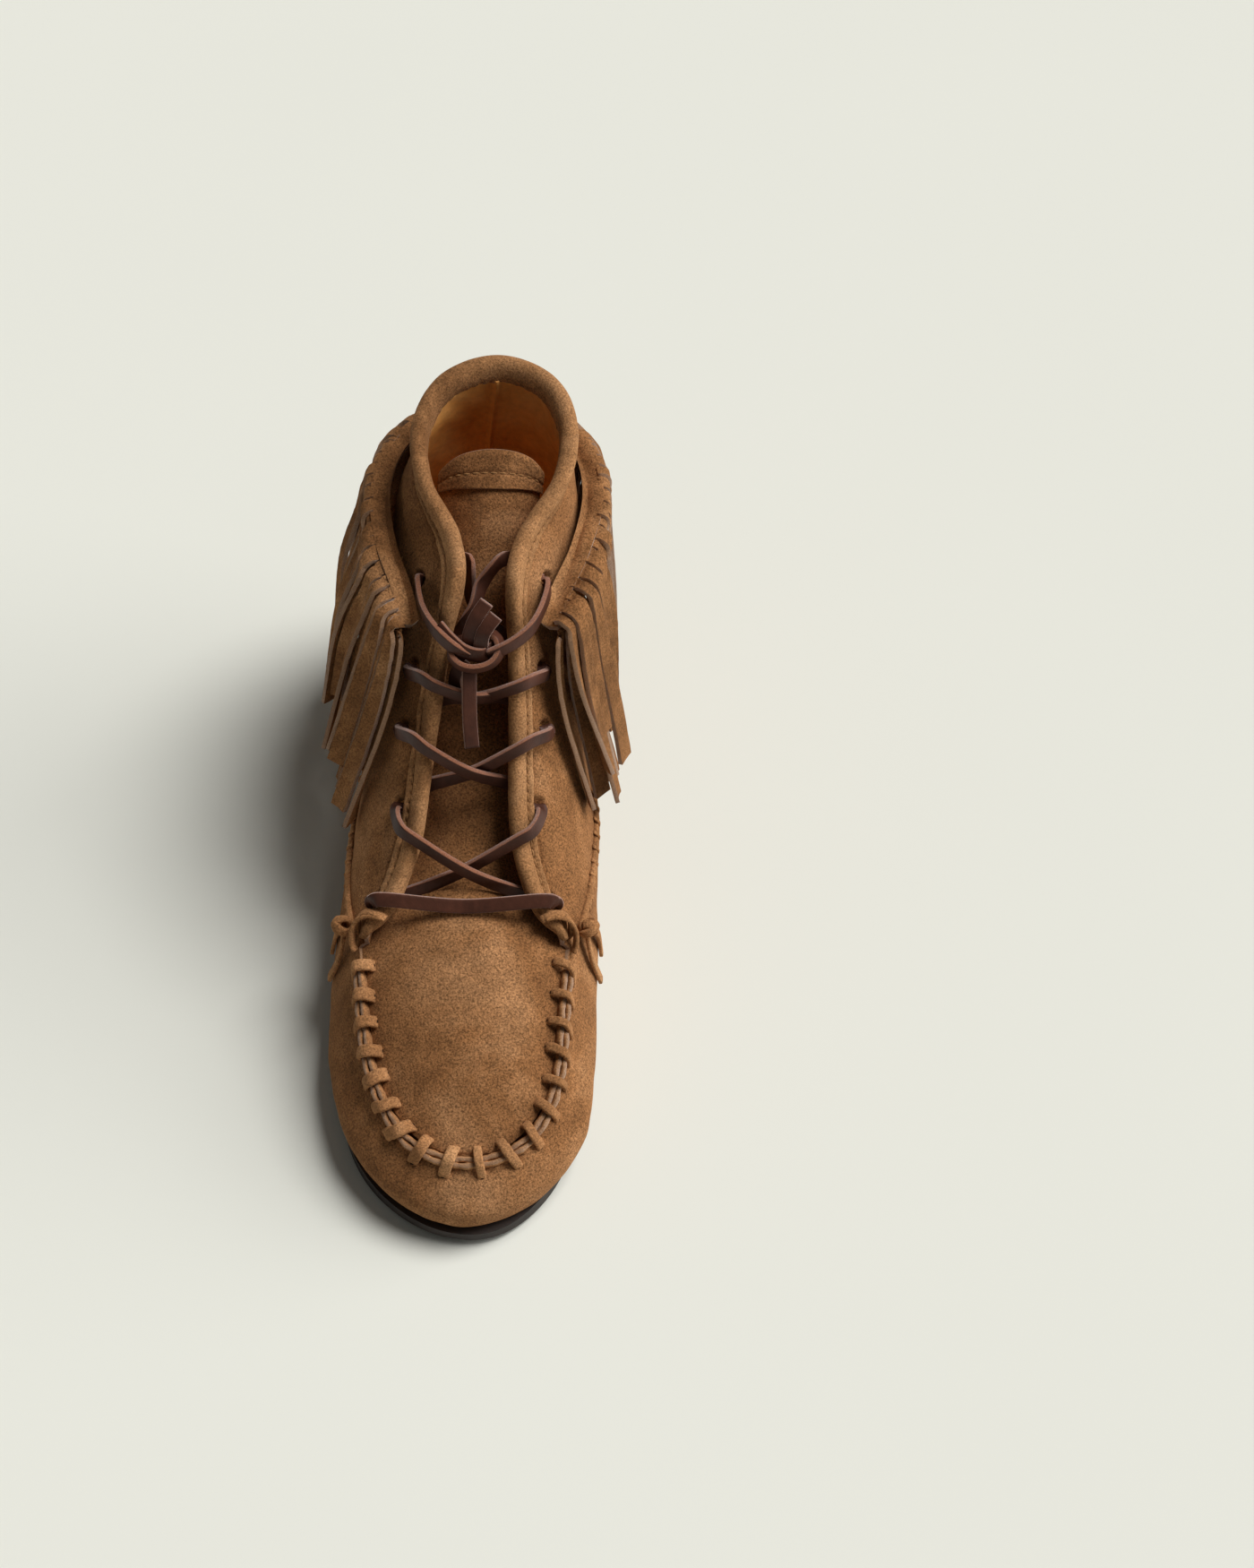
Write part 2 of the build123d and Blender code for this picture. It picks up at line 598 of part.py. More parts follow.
def make_lace():
    """The bar between the lowest eyelets, the crossings above it, the knot and its hanging tail."""
    t, v = EYELETS[0]
    ends = {
        side: [on_quarter(side, t, v, 2.0)] + [on_binding(side, t, turn, 2.3) for turn in (-10, 35, 80)]
        for side in SIDES.values()
    }
    middle = (ends[LATERAL][3][0] + ends[MEDIAL][3][0]) / 2 + BAR_DROP
    write("lace_bar", lace(ends[LATERAL] + [(middle, Vector(0, -0.3, 1))] + ends[MEDIAL][::-1]))

    top = len(EYELETS) - 1
    for k in range(top - 1):
        write(f"lace_crossing_{k + 1}", lace_run(MEDIAL, k, LACE_LIFT), lace_run(LATERAL, k, LACE_SAG))
    inside = []
    for side, lift in ((MEDIAL, 0), (LATERAL, -LACE_LIFT)):
        low, high = behind_facing(side, top - 1), behind_facing(-side, top)
        middle = (low[-1][0] + high[-1][0]) / 2 + TONGUE_FACE * lift
        inside.append(lace(low + [(middle, TONGUE_FACE)] + high[::-1]))
    write(f"lace_crossing_{top}", *inside)

    t, v = EYELETS[top]
    leads = []
    for side in SIDES.values():
        route = [on_quarter(side, t, v, 0.9), on_quarter(side, t - 0.25, 0.88, 2.0)]
        route += [on_binding(side, t - 0.55, -5, 1.7), on_binding(side, t - 0.70, 32, 1.8)]
        route += [on_binding(side, t - 0.80, 70, 1.8)]
        ends = [by_knot(side * 4.9, 11.0, 7.0), by_knot(side * 3.6, 8.4, 3.6)]
        leads.append(lace(route + [(end, TONGUE_FACE) for end in ends]))
    write("lace_leads", *leads)

    turns = [math.radians(angle) for angle in steps(100, 430, 12)]
    radial = [(by_knot(math.cos(angle), math.sin(angle), 0) - KNOT).normalized() for angle in turns]
    pieces = [ribbon([KNOT + r * KNOT_RADIUS for r in radial], radial, LACE_WIDTH, LACE_THICK, spans=3)]
    for stub in KNOT_STUBS:
        path = [by_knot(*point) for point in stub]
        pieces.append(ribbon(path, [TONGUE_FACE] * len(path), LACE_WIDTH * 0.8, LACE_THICK))
    write("lace_knot", *pieces)
    path = [by_knot(*point) for point in TAIL]
    write("lace_tail", ribbon(path, [TONGUE_FACE] * len(path), LACE_WIDTH, LACE_THICK))


def make_ties():
    """The knotted ends of the moccasin seam's thong, one at each front corner of the quarters."""
    for name, side in SIDES.items():
        normal = outward(quarter_at, side, 0.7, 0)
        middle = quarter_at(side, 0.7, 0) + normal * (TIE_RADIUS + 1.0)
        with BuildPart() as knot:
            with Locations(middle):
                Sphere(TIE_RADIUS)
        ends = []
        for t, depth in ((TOES + 0.2, 0.52), (TOES + 1.0, 0.45)):
            face = outward(wrap_at, side, t, depth)
            start = middle + (wrap_at(side, t, 0.9) - middle).normalized() * (TIE_RADIUS + 0.3)
            half = wrap_at(side, t, 0.78) + outward(wrap_at, side, t, 0.78) * 2.2
            tip = wrap_at(side, t, depth) + face * 1.6
            ends.append(ribbon([start, half, tip], [face] * 3, TIE_WIDTH, TIE_THICK))
        write(f"tie_knot_{name}", knot.part, *ends)


def heel_at(side, t, v):
    """A point of the shoe's back: v runs from the sole (0) past the side seam (0.5) to the collar (1)."""
    return wrap_at(side, t + TOES, 2 * v) if v < 0.5 else quarter_at(side, t, 2 * v - 1)


def make_back_strap():
    """The strap that covers the heel seam, from just above the sole up behind the fringe."""
    rows = patch_round_heel(heel_at, steps(LAST - 0.75, LAST, 7), lambda t: (0.05, 0.78), 19)
    write("back_strap", skin(rows, GAP + STRAP, STRAP))


if __name__ == "__main__":
    make_soles()
    make_wrap()
    make_plug()
    make_quarters()
    make_heel()
    make_binding()
    make_tongue()
    make_fringe()
    make_stitches()
    make_lace()
    make_ties()
    make_back_strap()
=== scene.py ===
import math

import bmesh
import bpy
import numpy as np
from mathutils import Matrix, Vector, noise


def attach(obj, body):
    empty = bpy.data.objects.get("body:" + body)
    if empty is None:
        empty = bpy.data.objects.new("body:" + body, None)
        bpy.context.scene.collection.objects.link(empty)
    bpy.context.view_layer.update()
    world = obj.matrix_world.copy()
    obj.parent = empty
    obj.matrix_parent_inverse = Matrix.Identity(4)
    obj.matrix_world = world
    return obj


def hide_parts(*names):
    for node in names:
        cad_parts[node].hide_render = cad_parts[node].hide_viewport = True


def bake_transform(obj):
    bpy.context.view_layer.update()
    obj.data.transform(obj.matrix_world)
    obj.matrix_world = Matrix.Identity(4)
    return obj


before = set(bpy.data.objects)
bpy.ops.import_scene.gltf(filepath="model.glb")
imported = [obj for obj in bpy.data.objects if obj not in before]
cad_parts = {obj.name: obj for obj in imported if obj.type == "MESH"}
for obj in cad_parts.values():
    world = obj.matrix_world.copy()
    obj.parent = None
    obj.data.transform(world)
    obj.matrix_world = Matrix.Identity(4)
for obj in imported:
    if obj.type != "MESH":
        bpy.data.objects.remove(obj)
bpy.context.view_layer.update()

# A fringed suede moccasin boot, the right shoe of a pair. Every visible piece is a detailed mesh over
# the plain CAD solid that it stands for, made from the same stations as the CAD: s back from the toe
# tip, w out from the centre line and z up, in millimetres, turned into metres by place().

MM = 0.001
LENGTH = 262.0
HALF = LENGTH / 2
SOLE_FRONT, SOLE_HEEL = 7.0, 13.5
WEDGE_START, WEDGE_END = 110.0, 195.0
FEATHER_GAP = 0.8
SUEDE, WRAP, LINING, GAP = 1.6, 1.8, 0.9, 0.3
BINDING_WIDTH, BINDING_DEPTH = 9.4, 6.0
LACE_WIDTH, LACE_THICK, LACE_STEP, LACE_LIFT, LACE_SAG = 4.8, 1.9, 0.12, 3.8, -1.2
STRIP_THICK, CREST, FOLD = 1.4, 6.0, 0.5
STRIP_LAYERS, LAYER_DROP = 2, 2.6
CUT_TOP = 0.21  # where the flap's cuts start, as a share of the way from its root to the free ends
ROOT_TUCK = 3.4
FRINGE_LEAN = (0.0, 1.5, 2.5)
STRIPS_IN_GROUP, GROUPS = 8, ("front", "side", "back")
MOC_STITCHES, MOC_SEAM_END = 18, 3.78
TIE_RADIUS = 3.8
STRAP = 1.5
COLLAR_FLARE = 0.5  # how far the binding leans outwards round the collar
SHARP_EDGE = math.radians(48)
LATERAL, MEDIAL = -1, 1
SIDES = {"lateral": LATERAL, "medial": MEDIAL}

# Stations from the facing's front corner to the heel: feather line, wall bulge, side seam, instep, flap
# line and top edge, each as (s, w, z). Then the toe's, up to the moccasin seam.
BACK_STATIONS = [
    [(86, 43, 7), (85, 45.5, 21), (86, 35.5, 46), (86.5, 35, 48.5), (87, 34.2, 51), (88, 33, 53.5)],
    [(102, 41.5, 7), (101, 45.4, 22), (100, 39.5, 43), (99.8, 35.5, 48.5), (99, 30.5, 53.5), (98, 25, 58.5)],
    [(120, 38.5, 7), (119, 44.4, 24), (118, 42, 40), (117.5, 37, 51), (116.5, 29, 61.5), (115, 18.5, 70)],
    [(142, 35, 9), (141, 42.8, 26), (140, 42, 40), (140, 38, 58), (139, 28.5, 77), (138, 15.5, 92)],
    [(164, 32, 11), (163, 40.5, 28), (162, 39.5, 42), (161, 36.5, 68), (159, 26, 94), (156, 13.2, 113)],
    [(186, 31, 13), (185, 38, 30), (184, 37, 44), (182, 34, 76), (177, 25, 108), (170, 10, 136)],
    [(206, 31, 13), (206, 36.5, 31), (204, 35, 46), (201, 33, 82), (196, 28.5, 120), (186, 12.5, 141.5)],
    [(226, 30, 13), (227, 34, 32), (224, 32, 49), (220, 32, 86), (216, 31, 124), (206, 22.5, 146)],
    [(243, 24, 13), (245, 27, 33), (241, 26, 51), (237, 26.5, 88), (233, 27, 126), (226, 24.5, 150)],
    [(253.5, 14, 13), (255.5, 15.5, 34), (252, 15.5, 53), (247, 15.5, 90), (245, 16, 127), (242, 17, 154)],
    [(257.5, 0, 13), (260, 0, 34), (257.5, 0, 54), (251, 0, 90), (249, 0, 128), (249, 0, 155.5)],
]
TOE_STATIONS = [
    [(4.5, 0, 8), (2.2, 0, 17.5), (16, 0, 27)],
    [(12, 20, 7.6), (10, 21.5, 18), (18.5, 12.5, 28)],
    [(30, 34.5, 7.2), (29, 38, 19), (27.5, 23.5, 30)],
    [(56, 41.5, 7.2), (55, 44.3, 20), (48, 31.5, 35.5)],
]
# Rows from the toe to the throat: s, half width and height at the edge, height of the crown.
PLUG_ROWS = [
    (18, 5, 27, 27.8),
    (20.8, 12.4, 28.2, 30.2),
    (28.5, 21.2, 30.4, 34.6),
    (40, 27.6, 33.4, 41),
    (56, 31, 38, 48),
    (72, 32.6, 42.4, 53.5),
    (88, 30, 47, 57.8),
    (101, 23, 51.5, 60.6),
]
# Rows from the root to the tip: crown s and z, then s, half width and z at the edge.
TONGUE_ROWS = [
    (98, 54.5, 98, 22, 48.5),
    (118, 61.5, 119, 22, 52),
    (143, 79, 147, 20, 69),
    (165, 98, 173, 18.5, 92),
    (181, 118, 190, 17, 114),
    (198, 134.5, 206, 17.5, 131),
    (217, 149.5, 216, 17.5, 144),
]
# Rows from the facing to the heel: the quarter's station, the height of the root, then (s, w, z) at the
# fold, half way down and at the free end.
FRINGE_ROWS = [
    (4.70, 115, (160, 25, 116), (149.5, 29, 95), (135.5, 41, 57)),
    (5.20, 118, (171, 32, 117), (165, 37, 93), (157, 46, 49)),
    (5.90, 121, (187, 36.5, 118), (186, 42.5, 90), (183, 47.5, 44)),
    (7.00, 124, (208, 38.5, 118), (208, 43.5, 88), (207, 46.5, 42)),
    (8.00, 126, (231, 37, 118), (234, 40.5, 88), (236, 43.5, 42)),
    (9.00, 127, (250, 27.5, 118), (256, 29, 88), (258.5, 31, 44)),
    (9.93, 127, (260.5, 1.4, 118), (266, 1.4, 88), (268, 1.6, 46)),
]
# Eyelets from the toe up: the quarter's station, and how far up the quarter.
EYELETS = [(1.08, 0.77), (2.46, 0.825), (3.42, 0.765), (4.18, 0.775), (5.46, 0.795)]
TOES, LAST = len(TOE_STATIONS), len(BACK_STATIONS) - 1
random = np.random.default_rng(7)


# ---------------------------------------------------------------- curves and surfaces


def catmull_rom(p0, p1, p2, p3, f):
    return p1 + 0.5 * f * (p2 - p0 + f * (2 * p0 - 5 * p1 + 4 * p2 - p3 + f * (3 * (p1 - p2) + p3 - p0)))


def smooth(points, t):
    """Points at t on a Catmull-Rom curve through points (first axis), with t counted in points."""
    points, t = np.asarray(points, float), np.asarray(t, float)
    i = np.clip(np.floor(t).astype(int), 0, len(points) - 2)
    padded = np.concatenate([[2 * points[0] - points[1]], points, [2 * points[-1] - points[-2]]])
    f = (t - i).reshape(t.shape + (1,) * (points.ndim - 1))
    return catmull_rom(padded[i], padded[i + 1], padded[i + 2], padded[i + 3], f)


def up_columns(columns, v):
    """Points at v (0 to 1) up each column of a (..., k, 3) array of columns."""
    count = columns.shape[-2]
    first = 2 * columns[..., :1, :] - columns[..., 1:2, :]
    last = 2 * columns[..., -1:, :] - columns[..., -2:-1, :]
    padded = np.concatenate([first, columns, last], axis=-2)
    t = np.asarray(v, float) * (count - 1)
    i = np.clip(np.floor(t).astype(int), 0, count - 2)
    picks = [np.take_along_axis(padded, (i + k)[..., None, None], axis=-2)[..., 0, :] for k in range(4)]
    return catmull_rom(*picks, (t - i)[..., None])


def place(side, s, w, z):
    """A station's point in metres."""
    instep = np.maximum(0, 1 - ((z - 92) / 55) ** 2)
    ball = np.maximum(0, 1 - ((s - 88) / 55) ** 2)
    centre = 0.069 * z - 2.2 * instep - 1.4 * ball + 0.05 * np.maximum(0, 60 - s)
    return np.stack([centre + side * w, s - HALF, z], axis=-1) * MM


def spread(t, v):
    t, v = np.broadcast_arrays(np.asarray(t, float), np.asarray(v, float))
    return t, v


def mirrored(rows):
    return np.asarray(rows, float) * np.array([1.0, -1.0, 1.0])


def quarter_at(side, t, v):
    """The outside of a quarter: t its station, v from the side seam (0) to the top edge (1)."""
    t, v = spread(t, v)
    rows = np.array([row[2:] for row in BACK_STATIONS], float)
    rows = np.concatenate([rows, mirrored(rows[-2:-1])])
    point = up_columns(smooth(rows, t), v)
    return place(side, point[..., 0], point[..., 1], point[..., 2])


def sole_top(s):
    f = np.clip((s - WEDGE_START) / (WEDGE_END - WEDGE_START), 0, 1)
    return SOLE_FRONT + (SOLE_HEEL - SOLE_FRONT) * f * f * (3 - 2 * f)


def wrap_at(side, t, v):
    """The outside of the wrap: t from the toe to the heel, v from the sole (0) to the seam (1)."""
    t, v = spread(t, v)
    rows = np.array(TOE_STATIONS + [row[:3] for row in BACK_STATIONS], float)
    rows = np.concatenate([mirrored(rows[1:2]), rows, mirrored(rows[-2:-1])])
    columns = smooth(rows, t + 1)
    columns[..., 0, 2] = sole_top(columns[..., 0, 0]) + FEATHER_GAP
    point = up_columns(columns, v)
    return place(side, point[..., 0], point[..., 1], point[..., 2])


def plug_at(side, t, v):
    t, v = spread(t, v)
    s, w, edge, crown = np.moveaxis(smooth(PLUG_ROWS, t), -1, 0)
    return place(-side, s, w * v, crown + (edge - crown) * v * v)


def tongue_at(side, t, v):
    t, v = spread(t, v)
    s, z, edge_s, w, edge_z = np.moveaxis(smooth(TONGUE_ROWS, t), -1, 0)
    return place(-side, s + (edge_s - s) * v * v, w * v, z + (edge_z - z) * v * v)


def unit(vectors):
    return vectors / np.linalg.norm(vectors, axis=-1, keepdims=True)


def outward(surface, side, t, v):
    """The unit normal of a surface, on its outside."""
    t, v = spread(t, v)
    step = 0.01
    along = surface(side, t + step, v) - surface(side, t - step, v)
    rise = surface(side, t, v + step) - surface(side, t, v - step)
    return unit(np.cross(along, rise)) * np.asarray(side, float)[..., None]


def skin(surface, side, t, v):
    """Points of a surface and the normals there."""
    return surface(side, t, v), outward(surface, side, t, v)


def raised(point, normal, lift):
    """Points lifted off a surface by lift millimetres."""
    return point + normal * lift[..., None] * MM


def bell(x, middle, width):
    """1 at the middle, falling to nothing on both sides."""
    return np.exp(-(((x - middle) / width) ** 2))


def height_v(side, t, z):
    """How far up a quarter it reaches the height z, in millimetres."""
    low, high = np.zeros_like(t), np.ones_like(t)
    for _ in range(22):
        middle = (low + high) / 2
        under = quarter_at(side, t, middle)[..., 2] < z * MM
        low, high = np.where(under, middle, low), np.where(under, high, middle)
    return low


def fringe_at(side, t, v):
    """The outside of the fringe: v from where it is sewn on (0) over the fold to its free end (1)."""
    t, v = spread(t, v)
    rows = np.array([[row[0], row[1], *row[2], *row[3], *row[4]] for row in FRINGE_ROWS], float)
    values = smooth(rows, t)
    station, z = values[..., 0], values[..., 1]
    up = height_v(side, station, z)
    normal = outward(quarter_at, side, station, up)
    root = quarter_at(side, station, up) + normal * (GAP + 2 * STRIP_THICK) * MM
    level = normal.copy()
    level[..., 2] = 0.25
    crest = root + unit(level) * CREST * MM
    line = [root, crest]
    for k, lean in enumerate(FRINGE_LEAN):
        s, w, height = (values[..., 2 + 3 * k + j] for j in range(3))
        lean = lean * np.clip(t / 2, 0, 1) * np.minimum(1, w / 30) ** 2
        line.append(place(side, s, w - side * lean, height))
    return up_columns(np.stack(line, axis=-2), v)


def even(curve, first, last, count):
    """Values that step evenly along a curve, ends included."""
    values = np.linspace(first, last, 400)
    points = np.array([curve(value) for value in values])
    total = np.concatenate([[0], np.cumsum(np.linalg.norm(np.diff(points, axis=0), axis=1))])
    return np.interp(np.linspace(0, total[-1], count), total, values)


def rough(points, size, amount, seed=0.0):
    """Smooth random values over an array of points: size is the length of a wave in millimetres."""
    flat = points.reshape(-1, 3) / (size * MM) + seed
    values = np.array([noise.noise(Vector(point)) for point in flat])
    return values.reshape(points.shape[:-1]) * amount


# ---------------------------------------------------------------- mesh building


def link(thing):
    bpy.context.scene.collection.objects.link(thing)


def mesh_object(name, vertices, faces, materials, slots=None, bevel=0.0):
    """A smooth-shaded mesh object, with its sharp edges rounded off by bevel millimetres."""
    mesh = bpy.data.meshes.new(name)
    mesh.from_pydata([tuple(v) for v in vertices], [], faces)
    for material in materials:
        mesh.materials.append(material)
    if slots is not None:
        mesh.polygons.foreach_set("material_index", slots)
    build = bmesh.new()
    build.from_mesh(mesh)
    bmesh.ops.recalc_face_normals(build, faces=build.faces)
    if bevel:
        inner = [edge for edge in build.edges if len(edge.link_faces) == 2]
        bmesh.ops.bevel(
            build,
            geom=[edge for edge in inner if edge.calc_face_angle() > SHARP_EDGE],
            offset=bevel * MM,
            segments=2,
            affect="EDGES",
            profile=0.5,
            material=-1,
            clamp_overlap=True,
        )
    for face in build.faces:
        face.smooth = True
    build.to_mesh(mesh)
    build.free()
    piece = bpy.data.objects.new(name, mesh)
    link(piece)
    return piece


def sheet_faces(rows, columns, start=0, flip=False):
    faces = []
    for i in range(rows - 1):
        for j in range(columns - 1):
            a = start + i * columns + j
            quad = (a, a + 1, a + columns + 1, a + columns)
            faces.append(quad[::-1] if flip else quad)
    return faces


def closed_sheets(grids):
    """Vertices, faces and slots of slabs, each an (outer, inner) pair of grids; the rims get slot 1."""
    vertices, faces, slots = [], [], []
    for outer, inner in grids:
        rows, columns = outer.shape[:2]
        start, size = len(vertices), rows * columns
        vertices += list(outer.reshape(-1, 3)) + list(inner.reshape(-1, 3))
        skins = sheet_faces(rows, columns, start) + sheet_faces(rows, columns, start + size, True)
        edge = [i * columns for i in range(rows)]
        edge += [(rows - 1) * columns + j for j in range(1, columns)]
        edge += [i * columns + columns - 1 for i in range(rows - 2, -1, -1)]
        edge += [j for j in range(columns - 2, 0, -1)]
        rims = []
        for a, b in zip(edge, edge[1:] + edge[:1]):
            rims.append((start + a, start + b, start + size + b, start + size + a))
        faces += skins + rims
        slots += [0] * len(skins) + [1] * len(rims)
    return vertices, faces, slots


def slab(name, grids, materials, bevel=0.35):
    vertices, faces, slots = closed_sheets(grids)
    return mesh_object(name, vertices, faces, materials, slots, bevel)


def tube_mesh(sections):
    """Vertices and faces of a closed tube through rings of points (rings, points in a ring, 3)."""
    rings, around = sections.shape[:2]
    faces = []
    for i in range(rings - 1):
        for j in range(around):
            k = (j + 1) % around
            faces.append((i * around + j, i * around + k, (i + 1) * around + k, (i + 1) * around + j))
    faces.append(tuple(range(around))[::-1])
    faces.append(tuple((rings - 1) * around + j for j in range(around)))
    return list(sections.reshape(-1, 3)), faces


def merge(parts):
    vertices, faces = [], []
    for some_vertices, some_faces in parts:
        start = len(vertices)
        vertices += some_vertices
        faces += [tuple(start + k for k in face) for face in some_faces]
    return vertices, faces


def strap_sections(path, facing, width, thickness, round_off, points):
    """Rings of a flat strap with rounded corners, whose face looks towards facing."""
    along = np.gradient(path, axis=0)
    across = unit(np.cross(along, facing))
    up = unit(np.cross(across, along))
    angles = np.linspace(0, 2 * math.pi, points, endpoint=False) + math.pi / points
    c, s = np.cos(angles), np.sin(angles)
    x = np.sign(c) * np.abs(c) ** round_off * width / 2
    y = np.sign(s) * np.abs(s) ** round_off * thickness / 2
    offsets = across[:, None, :] * x[None, :, None] + up[:, None, :] * y[None, :, None]
    return path[:, None, :] + offsets * MM


def strap(path, facing, width, thickness, spans=8, round_off=0.35, points=14):
    """Vertices and faces of a flat strap along a smooth path through a few points."""
    t = np.linspace(0, len(path) - 1, spans * (len(path) - 1) + 1)
    sections = strap_sections(smooth(path, t), smooth(facing, t), width, thickness, round_off, points)
    return tube_mesh(sections)


# ---------------------------------------------------------------- materials


def linear(red, green, blue):
    """A screen colour, 0 to 255, as the linear colour that shaders take."""
    values = [c / 255 for c in (red, green, blue)]
    return tuple(c / 12.92 if c <= 0.04045 else ((c + 0.055) / 1.055) ** 2.4 for c in values) + (1.0,)


class Shader:
    """A Principled material with a few shorthand ways to add procedural colour and relief."""

    def __init__(self, name):
        self.material = bpy.data.materials.new(name)
        self.material.use_nodes = True
        self.nodes, self.links = self.material.node_tree.nodes, self.material.node_tree.links
        self.surface = self.nodes["Principled BSDF"]
        self.place = self.node("TexCoord").outputs["Object"]
        self.relief = None

    def node(self, kind, **values):
        """A new shader node with plain values in its inputs."""
        node = self.nodes.new("ShaderNode" + kind)
        for name, value in values.items():
            node.inputs[name].default_value = value
        return node

    def set(self, **values):
        for name, value in values.items():
            self.surface.inputs[name.replace("_", " ")].default_value = value

    def noise(self, size, detail=3.0, roughness=0.55, distortion=0.0, stretch=None):
        """A noise whose waves are about size millimetres long."""
        values = {"Detail": detail, "Roughness": roughness, "Distortion": distortion}
        texture = self.node("TexNoise", Scale=1000.0 / size, **values)
        source = self.place
        if stretch:
            mapping = self.node("Mapping", Scale=stretch)
            self.links.new(self.place, mapping.inputs["Vector"])
            source = mapping.outputs["Vector"]
        self.links.new(source, texture.inputs["Vector"])
        return texture.outputs["Fac"]

    def cells(self, size):
        texture = self.node("TexVoronoi", Scale=1000.0 / size)
        texture.feature = "DISTANCE_TO_EDGE"
        self.links.new(self.place, texture.inputs["Vector"])
        return texture.outputs["Distance"]

    def ramp(self, value, *stops):
        ramp = self.node("ValToRGB")
        while len(ramp.color_ramp.elements) < len(stops):
            ramp.color_ramp.elements.new(0.5)
        for element, (position, colour) in zip(ramp.color_ramp.elements, stops):
            element.position, element.color = position, colour
        self.links.new(value, ramp.inputs["Fac"])
        return ramp.outputs["Color"]

    def mix(self, kind, factor, a, b):
        mix = self.node("Mix")
        mix.data_type, mix.blend_type = "RGBA", kind
        for socket, value in ((mix.inputs[0], factor), (mix.inputs[6], a), (mix.inputs[7], b)):
            if hasattr(value, "is_linked"):
                self.links.new(value, socket)
            else:
                socket.default_value = value
        return mix.outputs[2]

    def colour(self, value):
        self.links.new(value, self.surface.inputs["Base Color"])

    def bump(self, value, distance, strength=1.0):
        """Adds relief of distance millimetres on top of what is already there."""
        bump = self.node("Bump", Distance=distance * MM, Strength=strength)
        self.links.new(value, bump.inputs["Height"])
        if self.relief:
            self.links.new(self.relief, bump.inputs["Normal"])
        self.relief = bump.outputs["Normal"]
        self.links.new(self.relief, self.surface.inputs["Normal"])


def grey(value):
    return (value, value, value, 1.0)


def suede(name, dark, middle, pale, speckle=0.62, nap=0.5):
    """Brushed suede: soft clouds where the nap lies different ways, and fine light and dark fibres."""
    shader = Shader(name)
    clouds = shader.noise(34, 4, 0.6, 0.6)
    base = shader.ramp(clouds, (0.30, dark), (0.5, middle), (0.72, pale))
    patches = shader.ramp(shader.noise(7, 3, 0.6, 0.3), (0.3, grey(0.80)), (0.7, grey(1.18)))
    base = shader.mix("MULTIPLY", 0.75, base, patches)
    fibres = shader.noise(0.7, 3, 0.8)
    specks = shader.ramp(fibres, (0.36, grey(1 - speckle)), (0.5, grey(0.98)), (0.66, grey(1 + speckle)))
    shader.colour(shader.mix("MULTIPLY", 1.0, base, specks))
    shader.set(Roughness=0.95, Specular_IOR_Level=0.12, Sheen_Weight=nap, Sheen_Roughness=0.55)
    shader.set(Sheen_Tint=pale)
    shader.bump(shader.noise(5, 3, 0.6), 0.35, 0.5)
    shader.bump(fibres, 0.35, 0.9)
    return shader.material


def raw_edge(name, middle, pale):
    """A cut edge of suede: paler, with loose fibres across it."""
    shader = Shader(name)
    fibres = shader.noise(0.6, 3, 0.75, 0.4, (1, 1, 2.5))
    shader.colour(shader.ramp(fibres, (0.3, middle), (0.65, pale)))
    shader.set(Roughness=1.0, Specular_IOR_Level=0.08, Sheen_Weight=0.5, Sheen_Roughness=0.6)
    shader.bump(fibres, 0.35, 1.0)
    return shader.material


def smooth_leather(name, dark, middle, pale, gloss, grain=1.1):
    """Finished leather: fine pebbled grain, faint streaks and rubbed patches."""
    shader = Shader(name)
    clouds = shader.ramp(shader.noise(16, 4, 0.6, 0.4), (0.3, dark), (0.52, middle), (0.75, pale))
    streaks = shader.ramp(shader.noise(2.2, 3, 0.6, 0.2, (1, 0.25, 1)), (0.3, grey(0.86)), (0.7, grey(1.1)))
    shader.colour(shader.mix("MULTIPLY", 0.8, clouds, streaks))
    shader.set(Roughness=gloss, Specular_IOR_Level=0.3)
    shader.bump(shader.noise(4.5, 3, 0.6), 0.25, 0.5)
    shader.bump(shader.cells(grain), 0.10, 0.6)
    return shader.material


def rubber(name):
    shader = Shader(name)
    dust = shader.noise(9, 4, 0.65)
    shader.colour(shader.ramp(dust, (0.3, linear(34, 27, 24)), (0.7, linear(54, 44, 39))))
    shader.set(Roughness=0.62, Specular_IOR_Level=0.35)
    shader.bump(shader.noise(0.9, 3, 0.6), 0.08, 0.7)
    return shader.material


def thread(name, dark, pale):
    shader = Shader(name)
    twist = shader.node("TexWave", Scale=900, Distortion=2)
    shader.links.new(shader.place, twist.inputs["Vector"])
    shader.colour(shader.ramp(twist.outputs["Fac"], (0.2, dark), (0.8, pale)))
    shader.set(Roughness=0.75, Specular_IOR_Level=0.25)
    shader.bump(twist.outputs["Fac"], 0.12, 0.8)
    return shader.material


def board(name, dark, pale):
    shader = Shader(name)
    fibres = shader.noise(1.4, 4, 0.7)
    shader.colour(shader.ramp(fibres, (0.3, dark), (0.7, pale)))
    shader.set(Roughness=0.95, Specular_IOR_Level=0.1)
    shader.bump(fibres, 0.2, 0.6)
    return shader.material


